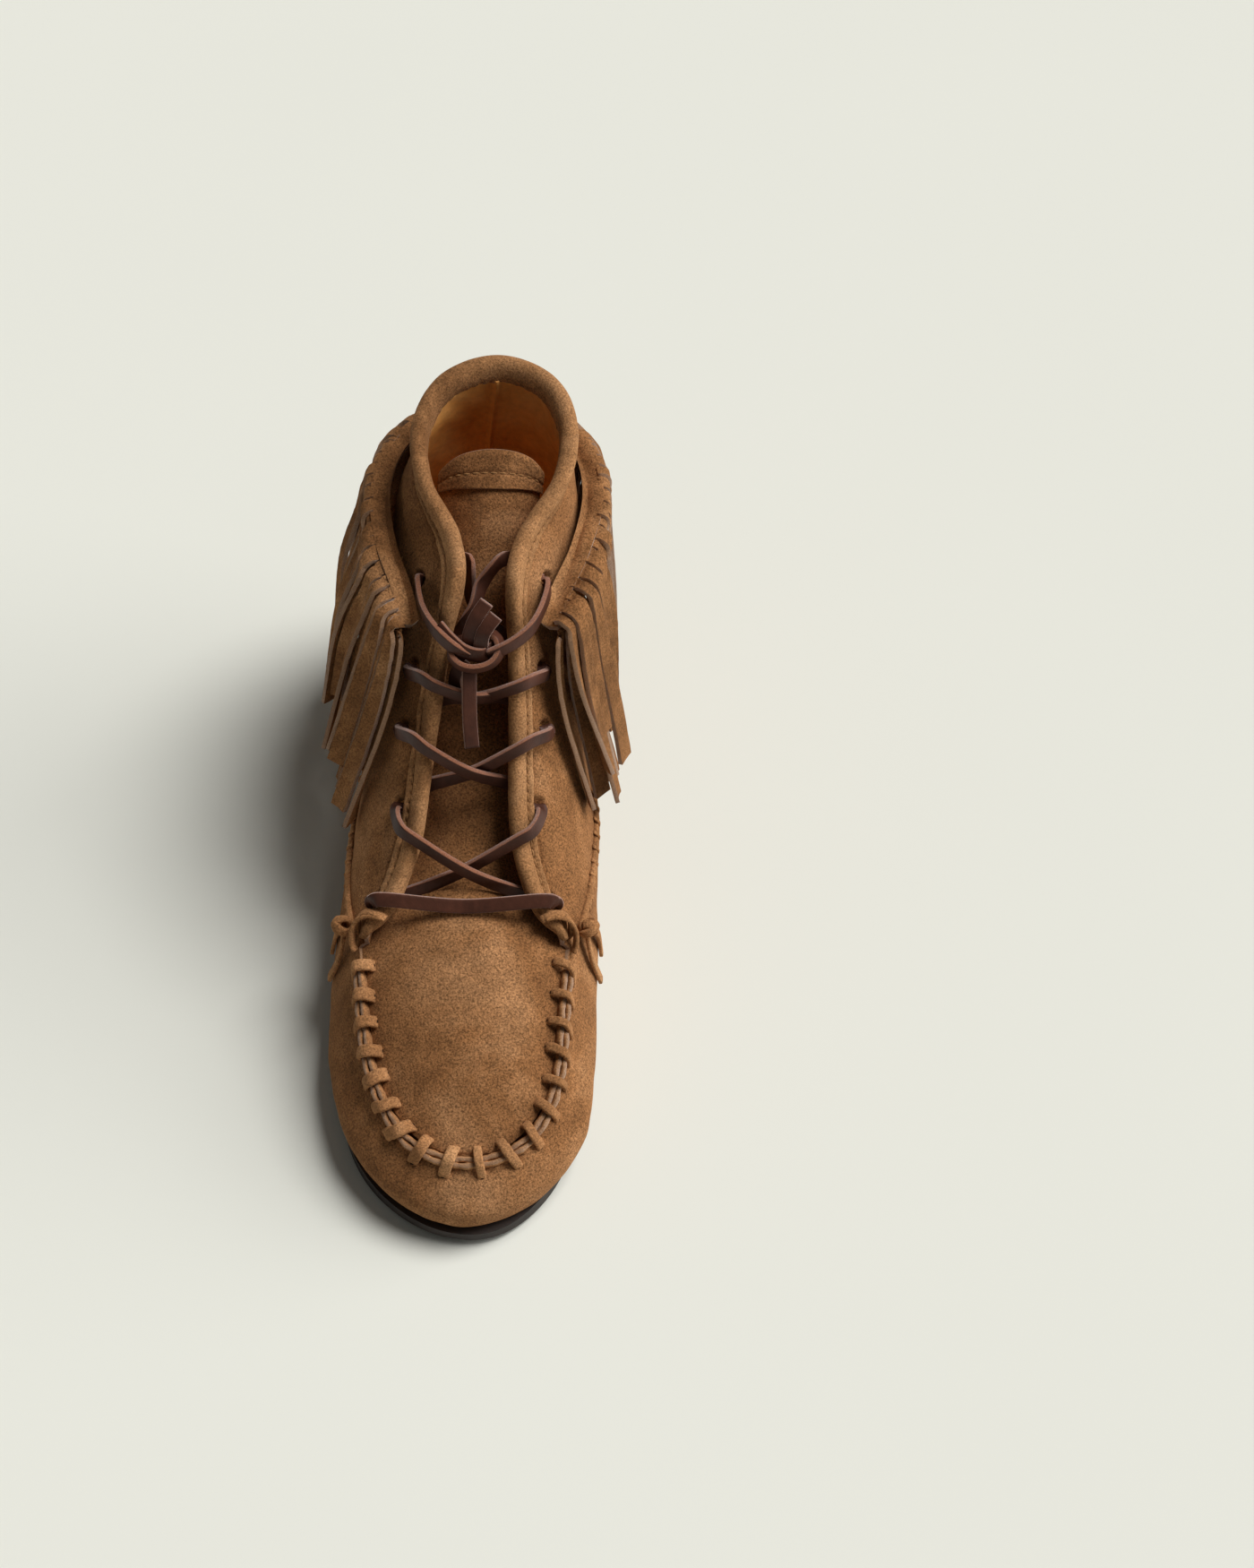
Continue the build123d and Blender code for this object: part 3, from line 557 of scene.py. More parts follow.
BODY = suede("body_suede", linear(116, 76, 44), linear(144, 99, 61), linear(170, 124, 84))
BINDING = suede("binding_suede", linear(116, 78, 46), linear(158, 113, 73), linear(184, 138, 96), 0.5)
FRINGE = suede("fringe_suede", linear(96, 62, 35), linear(142, 98, 60), linear(176, 130, 88), 0.55)
THONG = suede("thong_suede", linear(132, 90, 54), linear(164, 116, 75), linear(190, 142, 98), 0.5)
EDGE = raw_edge("suede_raw_edge", linear(128, 88, 54), linear(182, 138, 98))
CAMEL = linear(220, 148, 72), linear(238, 170, 92), linear(247, 186, 112)
LINING_LEATHER = smooth_leather("lining_leather", *CAMEL, 0.5)
RED_BROWN = linear(56, 30, 20), linear(74, 41, 28), linear(92, 53, 38)
LACE_LEATHER = smooth_leather("lace_leather", *RED_BROWN, 0.5, 0.8)
LACE_EDGE = raw_edge("lace_raw_edge", linear(106, 58, 34), linear(158, 96, 58))
RUBBER = rubber("rubber_sole")
THREAD = thread("tan_thread", linear(110, 72, 40), linear(182, 134, 84))
# Dark suede used only for painted shade: the domes in the stitch holes' mouths
DARK = suede("seam_shadow", linear(40, 24, 13), linear(56, 35, 20), linear(70, 45, 27), 0.3, 0.1)
BOARD = board("fibre_board", linear(120, 98, 70), linear(150, 126, 94))
FOAM = board("footbed_foam", linear(190, 178, 150), linear(214, 204, 180))


# ---------------------------------------------------------------- the boot's body


def finish_piece(piece, body, slot, *nodes):
    """Rides a piece on its body and lets it stand for the CAD nodes it covers."""
    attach(piece, body)
    if nodes:
        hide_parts(*nodes)


def add_panel(name, outer, normal, thickness, materials, body, slot, node):
    """A panel of leather: its outside as a grid, its thickness laid on inwards."""
    piece = slab(name, [(outer, outer - normal * thickness * MM)], materials)
    finish_piece(piece, body, slot, node)


def add_parts(name, parts, material, body, slot, *nodes):
    """One piece made of many small closed meshes."""
    finish_piece(mesh_object(name, *merge(parts), [material]), body, slot, *nodes)


def seam_point(signed):
    """A point of the moccasin seam at a signed station, lateral below zero."""
    return wrap_at(math.copysign(1, signed), abs(signed), 1.0)


def seam_values(count):
    """Signed stations along the moccasin seam, lateral end to medial end, evenly spaced."""
    return even(seam_point, -MOC_SEAM_END, MOC_SEAM_END, count)


def spot(centre, normal, length, width):
    """A small shallow dome, for a punched hole's shaded mouth."""
    a = unit(np.cross(normal, [0.3, 0.9, 0.1]))
    b = np.cross(normal, a)
    rings = []
    for radius, height in ((1.0, -0.5), (0.8, 0.15), (0.4, 0.3)):
        ring = []
        for x in np.linspace(0, 2 * math.pi, 12, endpoint=False):
            flat = a * math.cos(x) * length / 2 * radius + b * math.sin(x) * width * radius
            ring.append(flat + normal * height)
        rings.append(centre + np.array(ring) * MM)
    return tube_mesh(np.array(rings))


STITCHES = seam_values(MOC_STITCHES)
SEAM_LEAN = np.array([0, 0, 1.2])  # turns what stands on the seam from its normal towards upright


def stitch_phase(signed):
    """0 at each thong stitch of the moccasin seam and 1 half way between two of them."""
    place_in_row = np.interp(signed, STITCHES, np.arange(MOC_STITCHES))
    return 0.5 - 0.5 * np.cos(2 * math.pi * place_in_row)


def make_wrap():
    edges = np.concatenate([np.linspace(-(TOES + LAST - 0.02), -4, 90), np.linspace(-3.97, 3.97, 260)])
    signed = np.concatenate([edges, np.linspace(4, TOES + LAST - 0.02, 90)])
    side = np.where(signed < 0, -1.0, 1.0)[:, None]
    v = np.concatenate([np.linspace(0, 0.8, 22), np.linspace(0.82, 1.0, 12)])[None, :]
    t = np.abs(signed)[:, None]
    point, normal = skin(wrap_at, side, t, v)
    front = np.clip((4.1 - t) / 0.5, 0, 1)
    near = bell(1 - v, 0, 0.13)
    pucker = front * near * (1.3 * stitch_phase(signed)[:, None] - 0.6)
    lift = pucker + rough(point, 22, 0.7, 3.0) * np.sin(math.pi * v) + rough(point, 7, 0.25, 9.0)
    tuck = -0.7 * bell(v, 0, 0.05)
    toe = np.clip((4.2 - t) / 1.5, 0, 1)
    full = 1.5 * toe * bell(v, 0.16, 0.2)
    outer = raised(point, normal, lift + tuck + full)
    outer[..., 2] -= toe * 1.2 * MM * np.clip(1 - np.abs(v - 0.12) * 4, 0, 1)
    name = "moccasin_wrap_suede"
    add_panel(name, outer, normal, WRAP, [BODY, EDGE], "boot", "body_suede", "moccasin_wrap")


def make_plug():
    last = len(PLUG_ROWS) - 1
    t, v = np.linspace(0, last, 120)[:, None], np.linspace(-1, 1, 81)[None, :]
    point, normal = skin(plug_at, MEDIAL, t, v)
    rim = bell(1 - np.abs(v), 0, 0.1) + bell(t, 0, 0.35)
    lift = -0.5 * np.clip(rim, 0, 1) + rough(point, 26, 0.8, 5.0) + rough(point, 8, 0.22, 1.0)
    outer = raised(point, normal, lift)
    throat = np.clip((t - 4.6) / 1.2, 0, 1) * np.abs(v) ** 4
    outer[..., 0] += np.sign(v) * throat * 5.0 * MM * -MEDIAL
    outer[..., 2] -= throat * 1.2 * MM
    add_panel("plug_suede", outer, normal, SUEDE, [BODY, EDGE], "boot", "body_suede", "plug")


def make_ridge():
    """The two raw edges that stand up along the moccasin seam, pinched in at each stitch."""
    values = seam_values(420)
    side, t = np.sign(values), np.abs(values)
    seam = wrap_at(side, t, 1.0)
    normal = outward(wrap_at, side, t, 0.97)
    up = unit(normal + SEAM_LEAN)
    inwards = unit(np.cross(up, np.gradient(seam, axis=0)))
    phase = stitch_phase(values)
    ring = [(-1, -1.6), (-1.05, 0.6), (-0.8, 0.9), (-0.2, 1), (0.5, 1), (0.95, 0.7), (1, -1.6)]
    for name, start, seed in (("wrap_edge_ridge", -1.05, 0), ("plug_edge_ridge", 1.0, 1)):
        middle = seam + inwards * (start * (0.72 + 0.4 * phase))[:, None] * MM
        height = 1.5 + 0.6 * phase + rough(seam, 3.0, 0.6, 2.0 + seed)
        half = 0.95 + rough(seam, 2.0, 0.25, 8.0 + seed)
        rings = []
        for x, y in ring:
            rise = np.where(y > 0, height * y, y) + rough(seam, 1.2, 0.3, 20 + x) * (y > 0)
            rings.append(middle + (inwards * (x * half)[:, None] + up * rise[:, None]) * MM)
        vertices, faces = tube_mesh(np.stack(rings, axis=1))
        slots = [1 if k % len(ring) in (2, 3) else 0 for k in range(len(faces) - 2)] + [1, 1]
        finish_piece(mesh_object(name, vertices, faces, [THONG, EDGE], slots), "boot", "thong_suede")


def make_moc_stitches():
    """Thong stitches over the seam, each a strap from one punched hole to the other."""
    parts, holes = [], []
    for value in STITCHES:
        side, t = (1 if value > 0 else -1), abs(value)
        seam, normal = wrap_at(side, t, 1.0), outward(wrap_at, side, t, 0.97)
        ahead = wrap_at(side, t + 0.02, 1.0) - wrap_at(side, t - 0.02, 1.0)
        up = unit(normal + SEAM_LEAN)
        inwards = unit(np.cross(up, ahead)) * side
        if np.dot(inwards, np.array([seam[0], seam[1] + 0.09, 0])) > 0:
            inwards = -inwards
        twist = random.uniform(-0.16, 0.16) + (0.32 if side == MEDIAL and t > 1.2 else 0)
        along = unit(ahead)
        reach_out, reach_in = random.uniform(4.6, 5.4), random.uniform(4.4, 5.2)
        outer_dip = unit(seam - wrap_at(side, t, 0.9))
        offsets = [(-reach_out, -1.5), (-reach_out + 0.4, 0.5), (-2.6, 2.3)]
        offsets += [(0, 3.4), (2.6, 2.7), (reach_in - 0.4, 0.8), (reach_in, -1.4)]
        points = []
        for x, h in offsets:
            base = seam + (inwards * x if x > 0 else outer_dip * x) * MM
            points.append(base + (up * h + along * x * twist) * MM)
        for x, direction in ((-reach_out - 0.2, outer_dip), (reach_in + 0.2, inwards)):
            end = seam + (direction * x + along * x * twist) * MM
            tilt = unit(up + direction * math.copysign(0.6, x))
            holes.append(spot(end + up * 0.3 * MM, tilt, 1.9, 1.1))
        leans = (-2.0, -1.0, -0.5, 0.0, 0.5, 1.0, 2.0)
        facing = [unit(up + inwards * lean) for lean in leans]
        width = random.uniform(3.9, 4.7) if side == LATERAL else random.uniform(2.8, 3.5)
        parts.append(strap(points, facing, width, 1.8, 6, 0.6, 12))
    vertices, faces = merge(parts)
    for k, vertex in enumerate(vertices):
        vertices[k] = vertex + np.ones(3) * noise.noise(Vector(vertex) / (1.6 * MM)) * 0.16 * MM
    piece = mesh_object("moc_stitch_thongs", vertices, faces, [THONG])
    finish_piece(piece, "boot", "thong_suede", "moc_stitches")
    # The holes are small dark domes: painted shade in each punched hole's mouth
    add_parts("moc_stitch_holes", holes, DARK, "boot", "body_suede")


def quarter_grid(side, first, v0, rows, columns):
    """Stations, heights, points and normals over a quarter, up to just below its top edge."""
    t = np.linspace(first, LAST, rows)[:, None]
    height = np.linalg.norm(quarter_at(side, t, 1.0) - quarter_at(side, t, 2 / 3), axis=-1) / MM
    v = v0 + (1 - 0.8 / height - v0) * np.linspace(0, 1, columns)[None, :]
    return (t, v, *skin(quarter_at, side, t, v))


def make_quarter(name, side):
    t, v, point, normal = quarter_grid(side, 0.05, 0.0, 260, 70)
    height = np.linalg.norm(quarter_at(side, t, 1.0) - quarter_at(side, t, 0.9), axis=-1) / MM * 10
    below = (1 - v) * height
    groove = -1.0 * bell(below, 6.0, 1.5)
    settle = np.clip((LAST - t) / 0.5, 0, 1)
    wrinkles = rough(point, 30, 1.5, side * 4.0) * np.sin(math.pi * np.clip(v, 0, 1)) * settle
    lift = groove + wrinkles + rough(point, 9, 0.3, 7.0) * settle
    for station, rise in EYELETS:
        centre = quarter_at(side, station, rise)
        away = np.linalg.norm(point - centre, axis=-1) / MM
        lift -= 2.2 * np.exp(-((away / 2.4) ** 4)) - 0.5 * bell(away, 3.6, 1.2)
    outer = raised(point, normal, lift)
    place_of = ("boot", "body_suede", f"quarter_{name}")
    add_panel(f"quarter_{name}_suede", outer, normal, SUEDE, [BODY, EDGE], *place_of)


def make_lining(name, side):
    t, v, point, normal = quarter_grid(side, 0.9, 0.03, 200, 44)
    settle = np.clip((LAST - t) / 0.4, 0, 1)
    lift = rough(point, 24, 1.6, 11.0 + side) * np.sin(math.pi * v) * settle - SUEDE - GAP - 0.4
    lift = lift + rough(point, 8, 0.5, 15.0) * settle
    lift = lift - 1.1 * bell(LAST - t, 0, 0.05)
    outer = raised(point, normal, lift)
    place_of = ("boot", "lining_leather", f"lining_{name}")
    add_panel(f"lining_{name}_leather", outer, normal, LINING, [LINING_LEATHER] * 2, *place_of)


GROOVE = -2.25  # the stitched groove's place across the binding


def binding_frame(side, t):
    point, normal = skin(quarter_at, side, t, 1.0)
    up = unit(point - quarter_at(side, t, 0.98))
    return point, normal, up


def rolled_frame(side, t):
    """The binding's frame, leaning outwards where it goes round the collar."""
    point, normal, up = binding_frame(side, t)
    flare = COLLAR_FLARE * np.clip((t - 5.5) / 3, 0, 1)[:, None]
    up = unit(up + flare * normal)
    return point, unit(normal - flare * up), up


def both_facings(count):
    """Stations from the medial front corner round the collar to the lateral front corner."""
    half = np.linspace(0, LAST, count)
    side = np.concatenate([np.ones(count), -np.ones(count - 1)])
    return side, np.concatenate([half, half[-2::-1]])


def make_binding():
    """The suede folded over the facings and collar: a round rim, a stitched flat tail, its raw edge."""
    profile = [(4.6, 0.2), (4.4, 1.3), (3.7, 2.3), (2.6, 2.8), (1.2, 2.85), (-0.4, 2.6), (-1.4, 2.4)]
    profile += [(-1.95, 1.9), (GROOVE, 1.1), (-2.55, 1.8), (-3.1, 2.3), (-4.1, 2.4), (-4.9, 2.3)]
    profile += [(-5.3, 1.7), (-5.3, 0.6), (-5.0, -0.4), (-4.2, -1.8), (-2.0, -2.6), (0.5, -2.8)]
    profile += [(2.6, -2.5), (4.0, -1.4)]
    side, t = both_facings(330)
    point, normal, up = rolled_frame(side, t)
    ends = np.clip(t / 0.45, 0, 1)
    full = 0.55 + 0.45 * ends * ends * (3 - 2 * ends)
    swell = full * (1 + rough(point, 14, 0.16, 4.0))
    wave = rough(point, 5, 0.35, 6.0)
    ring = []
    for x, y in profile:
        raw = rough(point, 1.8, 0.5, 12.0) if x < -4 else 0 * wave
        rise, out = (x + raw) * full, y * swell + wave * 0.4
        ring.append(point + (up * rise[:, None] + normal * out[:, None]) * MM)
    vertices, faces = tube_mesh(np.stack(ring, axis=1))
    count = len(profile)
    slots = [1 if k % count in (12, 13) else 0 for k in range(len(faces) - 2)] + [0, 0]
    piece = mesh_object("edge_binding_suede", vertices, faces, [BINDING, EDGE], slots)
    finish_piece(piece, "boot", "body_suede", "edge_binding")


def stitch_row(name, points, facing, length, gap, width, body="boot"):
    """A row of thread stitches along a path, in millimetres long, apart and wide."""
    total = np.concatenate([[0], np.cumsum(np.linalg.norm(np.diff(points, axis=0), axis=1))]) / MM
    parts = []
    for start in np.arange(0.5, total[-1] - length, length + gap):
        at = [start, start + length / 2, start + length]
        ends = np.stack([np.interp(at, total, points[:, k]) for k in range(3)], axis=-1)
        out = np.stack([np.interp(at, total, facing[:, k]) for k in range(3)], axis=-1)
        ends = ends + out * np.array([[-0.3], [0.12], [-0.3]]) * MM
        parts.append(strap(ends, out, width, width * 0.8, 3, 0.9, 8))
    add_parts(name, parts, THREAD, body, "thong_suede")


def make_binding_stitches():
    """The row of stitches along the binding's groove, and the tacks on the quarters below it."""
    side, t = both_facings(300)
    point, normal, up = rolled_frame(side, t)
    path = point + (up * GROOVE + normal * 2.0) * MM
    stitch_row("binding_stitches", path[14:-14], normal[14:-14], 2.3, 0.9, 0.75)
    for name, side, rows in (
        ("bar_tack_lateral", LATERAL, [(5.55, 0.62, 5.95, 0.70)]),
        ("bar_tack_medial", MEDIAL, [(6.2, 0.60, 6.5, 0.55), (5.7, 0.58, 5.9, 0.50)]),
    ):
        for k, (t0, v0, t1, v1) in enumerate(rows):
            t, v = np.linspace(t0, t1, 20), np.linspace(v0, v1, 20)
            normal = outward(quarter_at, side, t, v)
            path = quarter_at(side, t, v) + normal * 0.35 * MM
            stitch_row(f"{name}_{k}", path, normal, 1.5, 0.7, 0.6)


def tongue_grid(first, last, rows, columns=60):
    """The tongue's surface with its top corners rounded off."""
    end = len(TONGUE_ROWS) - 1
    t, v = np.linspace(first, last, rows)[:, None], np.linspace(-1, 1, columns)[None, :]
    t = t - 0.20 * np.clip((t - end + 1.2) / 1.2, 0, 1) * np.abs(v) ** 6
    point, normal = skin(tongue_at, MEDIAL, t, v)
    folds = 1.3 * np.sin(2.2 * t + 2.6 * v) * bell(t, 1.7, 1.0) * (1 - v * v)
    return t, point, normal, folds + rough(point, 18, 1.4, 2.0) + rough(point, 7, 0.3, 3.0)


def make_tongue():
    last = len(TONGUE_ROWS) - 1
    t, point, normal, lift = tongue_grid(0, last, 150)
    outer = raised(point, normal, lift)
    rims = [BODY, EDGE]
    add_panel("tongue_suede", outer, normal, SUEDE, rims, "tongue", "body_suede", "tongue")
    inner, normal = (outer - normal * (SUEDE + 0.15) * MM)[4:-1, 1:-1], normal[4:-1, 1:-1]
    place_of = ("tongue", "lining_leather", "tongue_lining")
    add_panel("tongue_lining_leather", inner, normal, LINING, [LINING_LEATHER] * 2, *place_of)

    seam = last - 0.30
    t, point, normal, lift = tongue_grid(last - 0.52, last + 0.03, 26)
    flat = t[:, 30:31]
    lift = lift + 1.35 - 0.5 * bell(flat, seam, 0.03)
    lift = lift - 0.7 * np.clip((flat - last + 0.06) / 0.08, 0, 1) ** 2
    outer = raised(point, normal, lift)
    add_panel("tongue_hem_suede", outer, normal, 1.3, rims, "tongue", "body_suede", "tongue_hem")
    row = int(np.argmin(np.abs(flat[:, 0] - seam)))
    path = outer[row, 2:-2] + normal[row, 2:-2] * 0.1 * MM
    stitch_row("tongue_hem_stitches", path, normal[row, 2:-2], 2.2, 0.9, 0.65, "tongue")
    t, v = np.full(40, 0.16), np.linspace(-0.75, 0.75, 40)
    point, normal = skin(tongue_at, MEDIAL, t, v)
    stitch_row("tongue_root_stitches", point + normal * 0.7 * MM, normal, 1.4, 0.5, 1.0)


# ---------------------------------------------------------------- fringe


def fold_point(t):
    return fringe_at(MEDIAL, t, FOLD)


FRINGE_CUTS = even(fold_point, 0, len(FRINGE_ROWS) - 1, STRIPS_IN_GROUP * len(GROUPS) + 1)


def fringe_strip(side, first, last, length, depth, curl, drift, twist, seed):
    """The (outer, inner) grids of one strip, from the fold's crest to its free end."""
    v = (CUT_TOP - 0.03 + (length - CUT_TOP + 0.03) * np.linspace(0, 1, 44))[:, None]
    across = np.linspace(-1, 1, 5)[None, :]
    middle, half = (first + last) / 2, (last - first) / 2
    free = np.clip((v - CUT_TOP) / (1 - CUT_TOP), 0, 1)
    narrow = 0.95 - 0.10 * np.clip(free * 5, 0, 1)
    t = middle + half * across * narrow
    point, normal = skin(fringe_at, side, t, v)
    along = unit(fringe_at(side, t + 0.03, v) - fringe_at(side, t - 0.03, v))
    reach = fringe_at(side, middle + 0.1, 0.6) - fringe_at(side, middle - 0.1, 0.6)
    width = (last - first) * 5 * np.linalg.norm(reach) / MM
    bend = curl * free**2 + 1.2 * np.sin(5.0 * free + seed) * free
    bend = bend + 0.8 * np.sin(7 * seed) * np.clip(free * 9, 0, 1)
    turn = twist * free**1.3
    sway = drift * free**1.6 + 1.3 * np.sin(4.1 * free + 2.3 * seed) * free
    sideways = across * width * 0.42 * (np.cos(turn) - 1) + sway
    out = bend + across * width * 0.42 * np.sin(turn) - depth * np.clip(free * 4, 0.35, 1)
    cup = -0.8 * (across**2) * (0.6 + 0.4 * np.cos(3 * free + seed))
    outer = point + along * sideways[..., None] * MM + normal * (out + cup)[..., None] * MM
    edge = rough(outer[:, :1], 2.2, 0.35, seed) * np.abs(across) ** 3
    outer = outer + along * (edge * np.sign(across))[..., None] * MM
    face = unit(np.cross(np.gradient(outer, axis=1), np.gradient(outer, axis=0)))
    face = face * np.sign(np.sum(face * normal, axis=-1, keepdims=True) + 1e-9)
    return outer, outer - face * (STRIP_THICK + 0.1) * MM


def fringe_flap(side, first, last):
    """The (outer, inner) grids of the uncut flap over one group of strips."""
    t = np.linspace(FRINGE_CUTS[first], FRINGE_CUTS[last], 50)[:, None]
    v = np.linspace(0, CUT_TOP, 22)[None, :]
    point, normal = skin(fringe_at, side, t, v)
    tuck = ROOT_TUCK * np.clip(1 - v / 0.05, 0, 1)
    lift = rough(point, 9, 2.0, 5.0) * np.sin(math.pi * v / CUT_TOP * 0.8) - tuck
    outer = raised(point, normal, lift)
    return outer, outer - normal * 2 * STRIP_THICK * MM


def make_fringe_group(side, group, node, band):
    """One group of strips in two layers, the under one shifted by half a strip."""
    first, last = group * STRIPS_IN_GROUP, (group + 1) * STRIPS_IN_GROUP
    grids = [fringe_flap(side, first, last)]
    for i in range(first, last):
        for layer in range(STRIP_LAYERS):
            shift = 0.5 * (FRINGE_CUTS[i + 1] - FRINGE_CUTS[i]) * (layer if i < last - 1 else 0)
            strip = fringe_strip(
                side,
                FRINGE_CUTS[i] + shift,
                FRINGE_CUTS[i + 1] + shift,
                random.uniform(0.92, 1.06) - 0.03 * layer,
                layer * LAYER_DROP,
                random.uniform(-2.6, 3.4) - layer * 0.5,
                random.uniform(-4.2, 4.2),
                random.uniform(-1.2, 1.2),
                random.uniform(0, 6),
            )
            grids.append(strip)
    vertices, faces, slots = closed_sheets(grids)
    piece = mesh_object(f"{node}_strips", vertices, faces, [FRINGE, EDGE], slots, 0.25)
    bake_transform(piece)
    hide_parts(node, band)


# ---------------------------------------------------------------- lace


KNOT = np.array([6.2, 26.8, 122.5]) * MM
TONGUE_FACE = np.array([0, -0.64, 0.77])
ACROSS, RISE = np.array([1.0, 0, 0]), np.array([0, 0.77, 0.64])
ON_EDGE = unit(TONGUE_FACE - 0.9 * RISE)


def on_binding(side, t, turn, clear):
    point, normal, up = binding_frame(side, t)
    c, s = math.cos(math.radians(turn)), math.sin(math.radians(turn))
    surface = point + (normal * c * BINDING_DEPTH / 2 + up * s * BINDING_WIDTH / 2) * MM
    face = unit(normal * (c / BINDING_DEPTH) + up * (s / BINDING_WIDTH))
    return surface + face * (LACE_THICK / 2 + clear) * MM, face


def on_quarter(side, t, v, clear):
    normal = outward(quarter_at, side, t, v)
    return quarter_at(side, t, v) + normal * (LACE_THICK / 2 + clear) * MM, normal


def behind_facing(side, eyelet):
    t, v = EYELETS[eyelet]
    face = outward(quarter_at, side, t + LACE_STEP, v)
    edge = outward(quarter_at, side, t + LACE_STEP, 1.0)
    back = SUEDE + GAP + LINING + LACE_THICK / 2 + 4 * GAP
    under = BINDING_DEPTH / 2 + LACE_THICK / 2 + 4 * GAP
    return [
        (quarter_at(side, t + LACE_STEP, v) - face * back * MM, face),
        (quarter_at(side, t + LACE_STEP, 1.0) - edge * under * MM, edge),
    ]


def lace_object(name, routes, body, node):
    """Flat lace along routes of (point, direction its face looks), with smooth faces and raw edges."""
    parts, slots = [], []
    around = 16
    for route in routes:
        parts.append(strap(*zip(*route), LACE_WIDTH, LACE_THICK, 10, 0.28, around))
        for k, face in enumerate(parts[-1][1]):
            angle = (k % around + 1.0) / around * 360
            on_edge = abs(((angle + 90) % 180) - 90) < 30
            slots.append(1 if on_edge or len(face) > 4 else 0)
    piece = mesh_object(name, *merge(parts), [LACE_LEATHER, LACE_EDGE], slots)
    finish_piece(piece, body, "lace_leather", node)


def lace_run(side, start, lift):
    """One run of lace, half on its edge over the tongue, so that its cut edge shows above its face."""
    t, v = EYELETS[start + 1]
    route = behind_facing(side, start)
    rim = on_binding(-side, t - 0.56, 60, 1.5)[0]
    middle = (route[-1][0] + rim) / 2 + (TONGUE_FACE * lift - RISE * 1.5) * MM
    lean = unit(ON_EDGE - 0.2 * side * ACROSS)
    route = [(point, unit(0.5 * face + lean)) for point, face in route]
    route += [(middle, lean), (rim, lean)]
    point, face = on_binding(-side, t - 0.33, -8, 2.1)
    route.append((point, unit(face + 1.2 * lean)))
    point, face = on_quarter(-side, t - 0.08, v + 0.01, 1.4)
    return route + [(point, unit(face + 0.8 * lean)), (on_quarter(-side, t, v, -1.8)[0], face)]


def by_knot(across, rise, out):
    """A point near the knot, in millimetres from its middle as seen from in front of the tongue."""
    return KNOT + (ACROSS * across + RISE * rise + TONGUE_FACE * out) * MM


def facing_way(points, direction):
    """A route through points near the knot, with its face to one direction all the way."""
    return [(by_knot(*point), direction) for point in points]


def make_bar():
    """The bar between the lowest eyelets, which goes in at both ends."""
    t, v = EYELETS[0]
    ends = {}
    lean = unit(np.array([0, -0.9, 1.0]))
    for side in SIDES.values():
        ends[side] = [on_quarter(side, t, v, -1.4), (on_quarter(side, t - 0.12, v, 1.2)[0], lean)]
        ends[side] += [(on_binding(side, t - 0.34, turn, 1.7)[0], lean) for turn in (5, 55)]
    middle = (ends[LATERAL][3][0] + ends[MEDIAL][3][0]) / 2 + np.array([0, -1.2, -1.8]) * MM
    route = ends[LATERAL] + [(middle, lean)] + ends[MEDIAL][::-1]
    lace_object("lace_bar_strap", [route], "boot", "lace_bar")


def make_crossings():
    """The crossings over the tongue, and the last one, which stays inside up to the top eyelets."""
    top = len(EYELETS) - 1
    for k in range(1, top):
        routes = [lace_run(MEDIAL, k - 1, LACE_LIFT), lace_run(LATERAL, k - 1, LACE_SAG)]
        lace_object(f"lace_crossing_{k}_straps", routes, "boot", f"lace_crossing_{k}")
    inside = []
    for side, middle in (
        (LATERAL, [(-1.2, 11.0, -1.5), (1.2, 19.0, -3.5)]),
        (MEDIAL, [(1.5, 7.0, -9.0), (-3.0, 15.0, -11.0)]),
    ):
        low, high = behind_facing(side, top - 1), behind_facing(-side, top)
        lean = unit(TONGUE_FACE - 0.9 * side * ACROSS)
        inside.append(low + facing_way(middle, lean) + high[::-1])
    lace_object(f"lace_crossing_{top}_straps", inside, "boot", f"lace_crossing_{top}")


def make_leads():
    """The lace's two ends, from the top eyelets over the binding into the knot."""
    t, v = EYELETS[-1]
    leads = []
    for side, bends in (
        (LATERAL, [(-19.2, 12.0, -5.6), (-14.4, 4.4, 2.6), (-8.6, -1.2, 5.0), (-3.0, -4.6, 3.6)]),
        (MEDIAL, [(21.6, 12.4, -6.0), (17.8, 4.6, 2.2), (11.6, -0.6, 5.0), (4.0, -4.2, 3.6)]),
    ):
        lean = unit(ON_EDGE + 0.5 * side * ACROSS)
        route = [on_quarter(side, t, v, -1.6), (on_quarter(side, t - 0.1, v + 0.01, 1.2)[0], lean)]
        leads.append(route + facing_way(bends, lean))
    lace_object("lace_lead_straps", leads, "boot", "lace_leads")


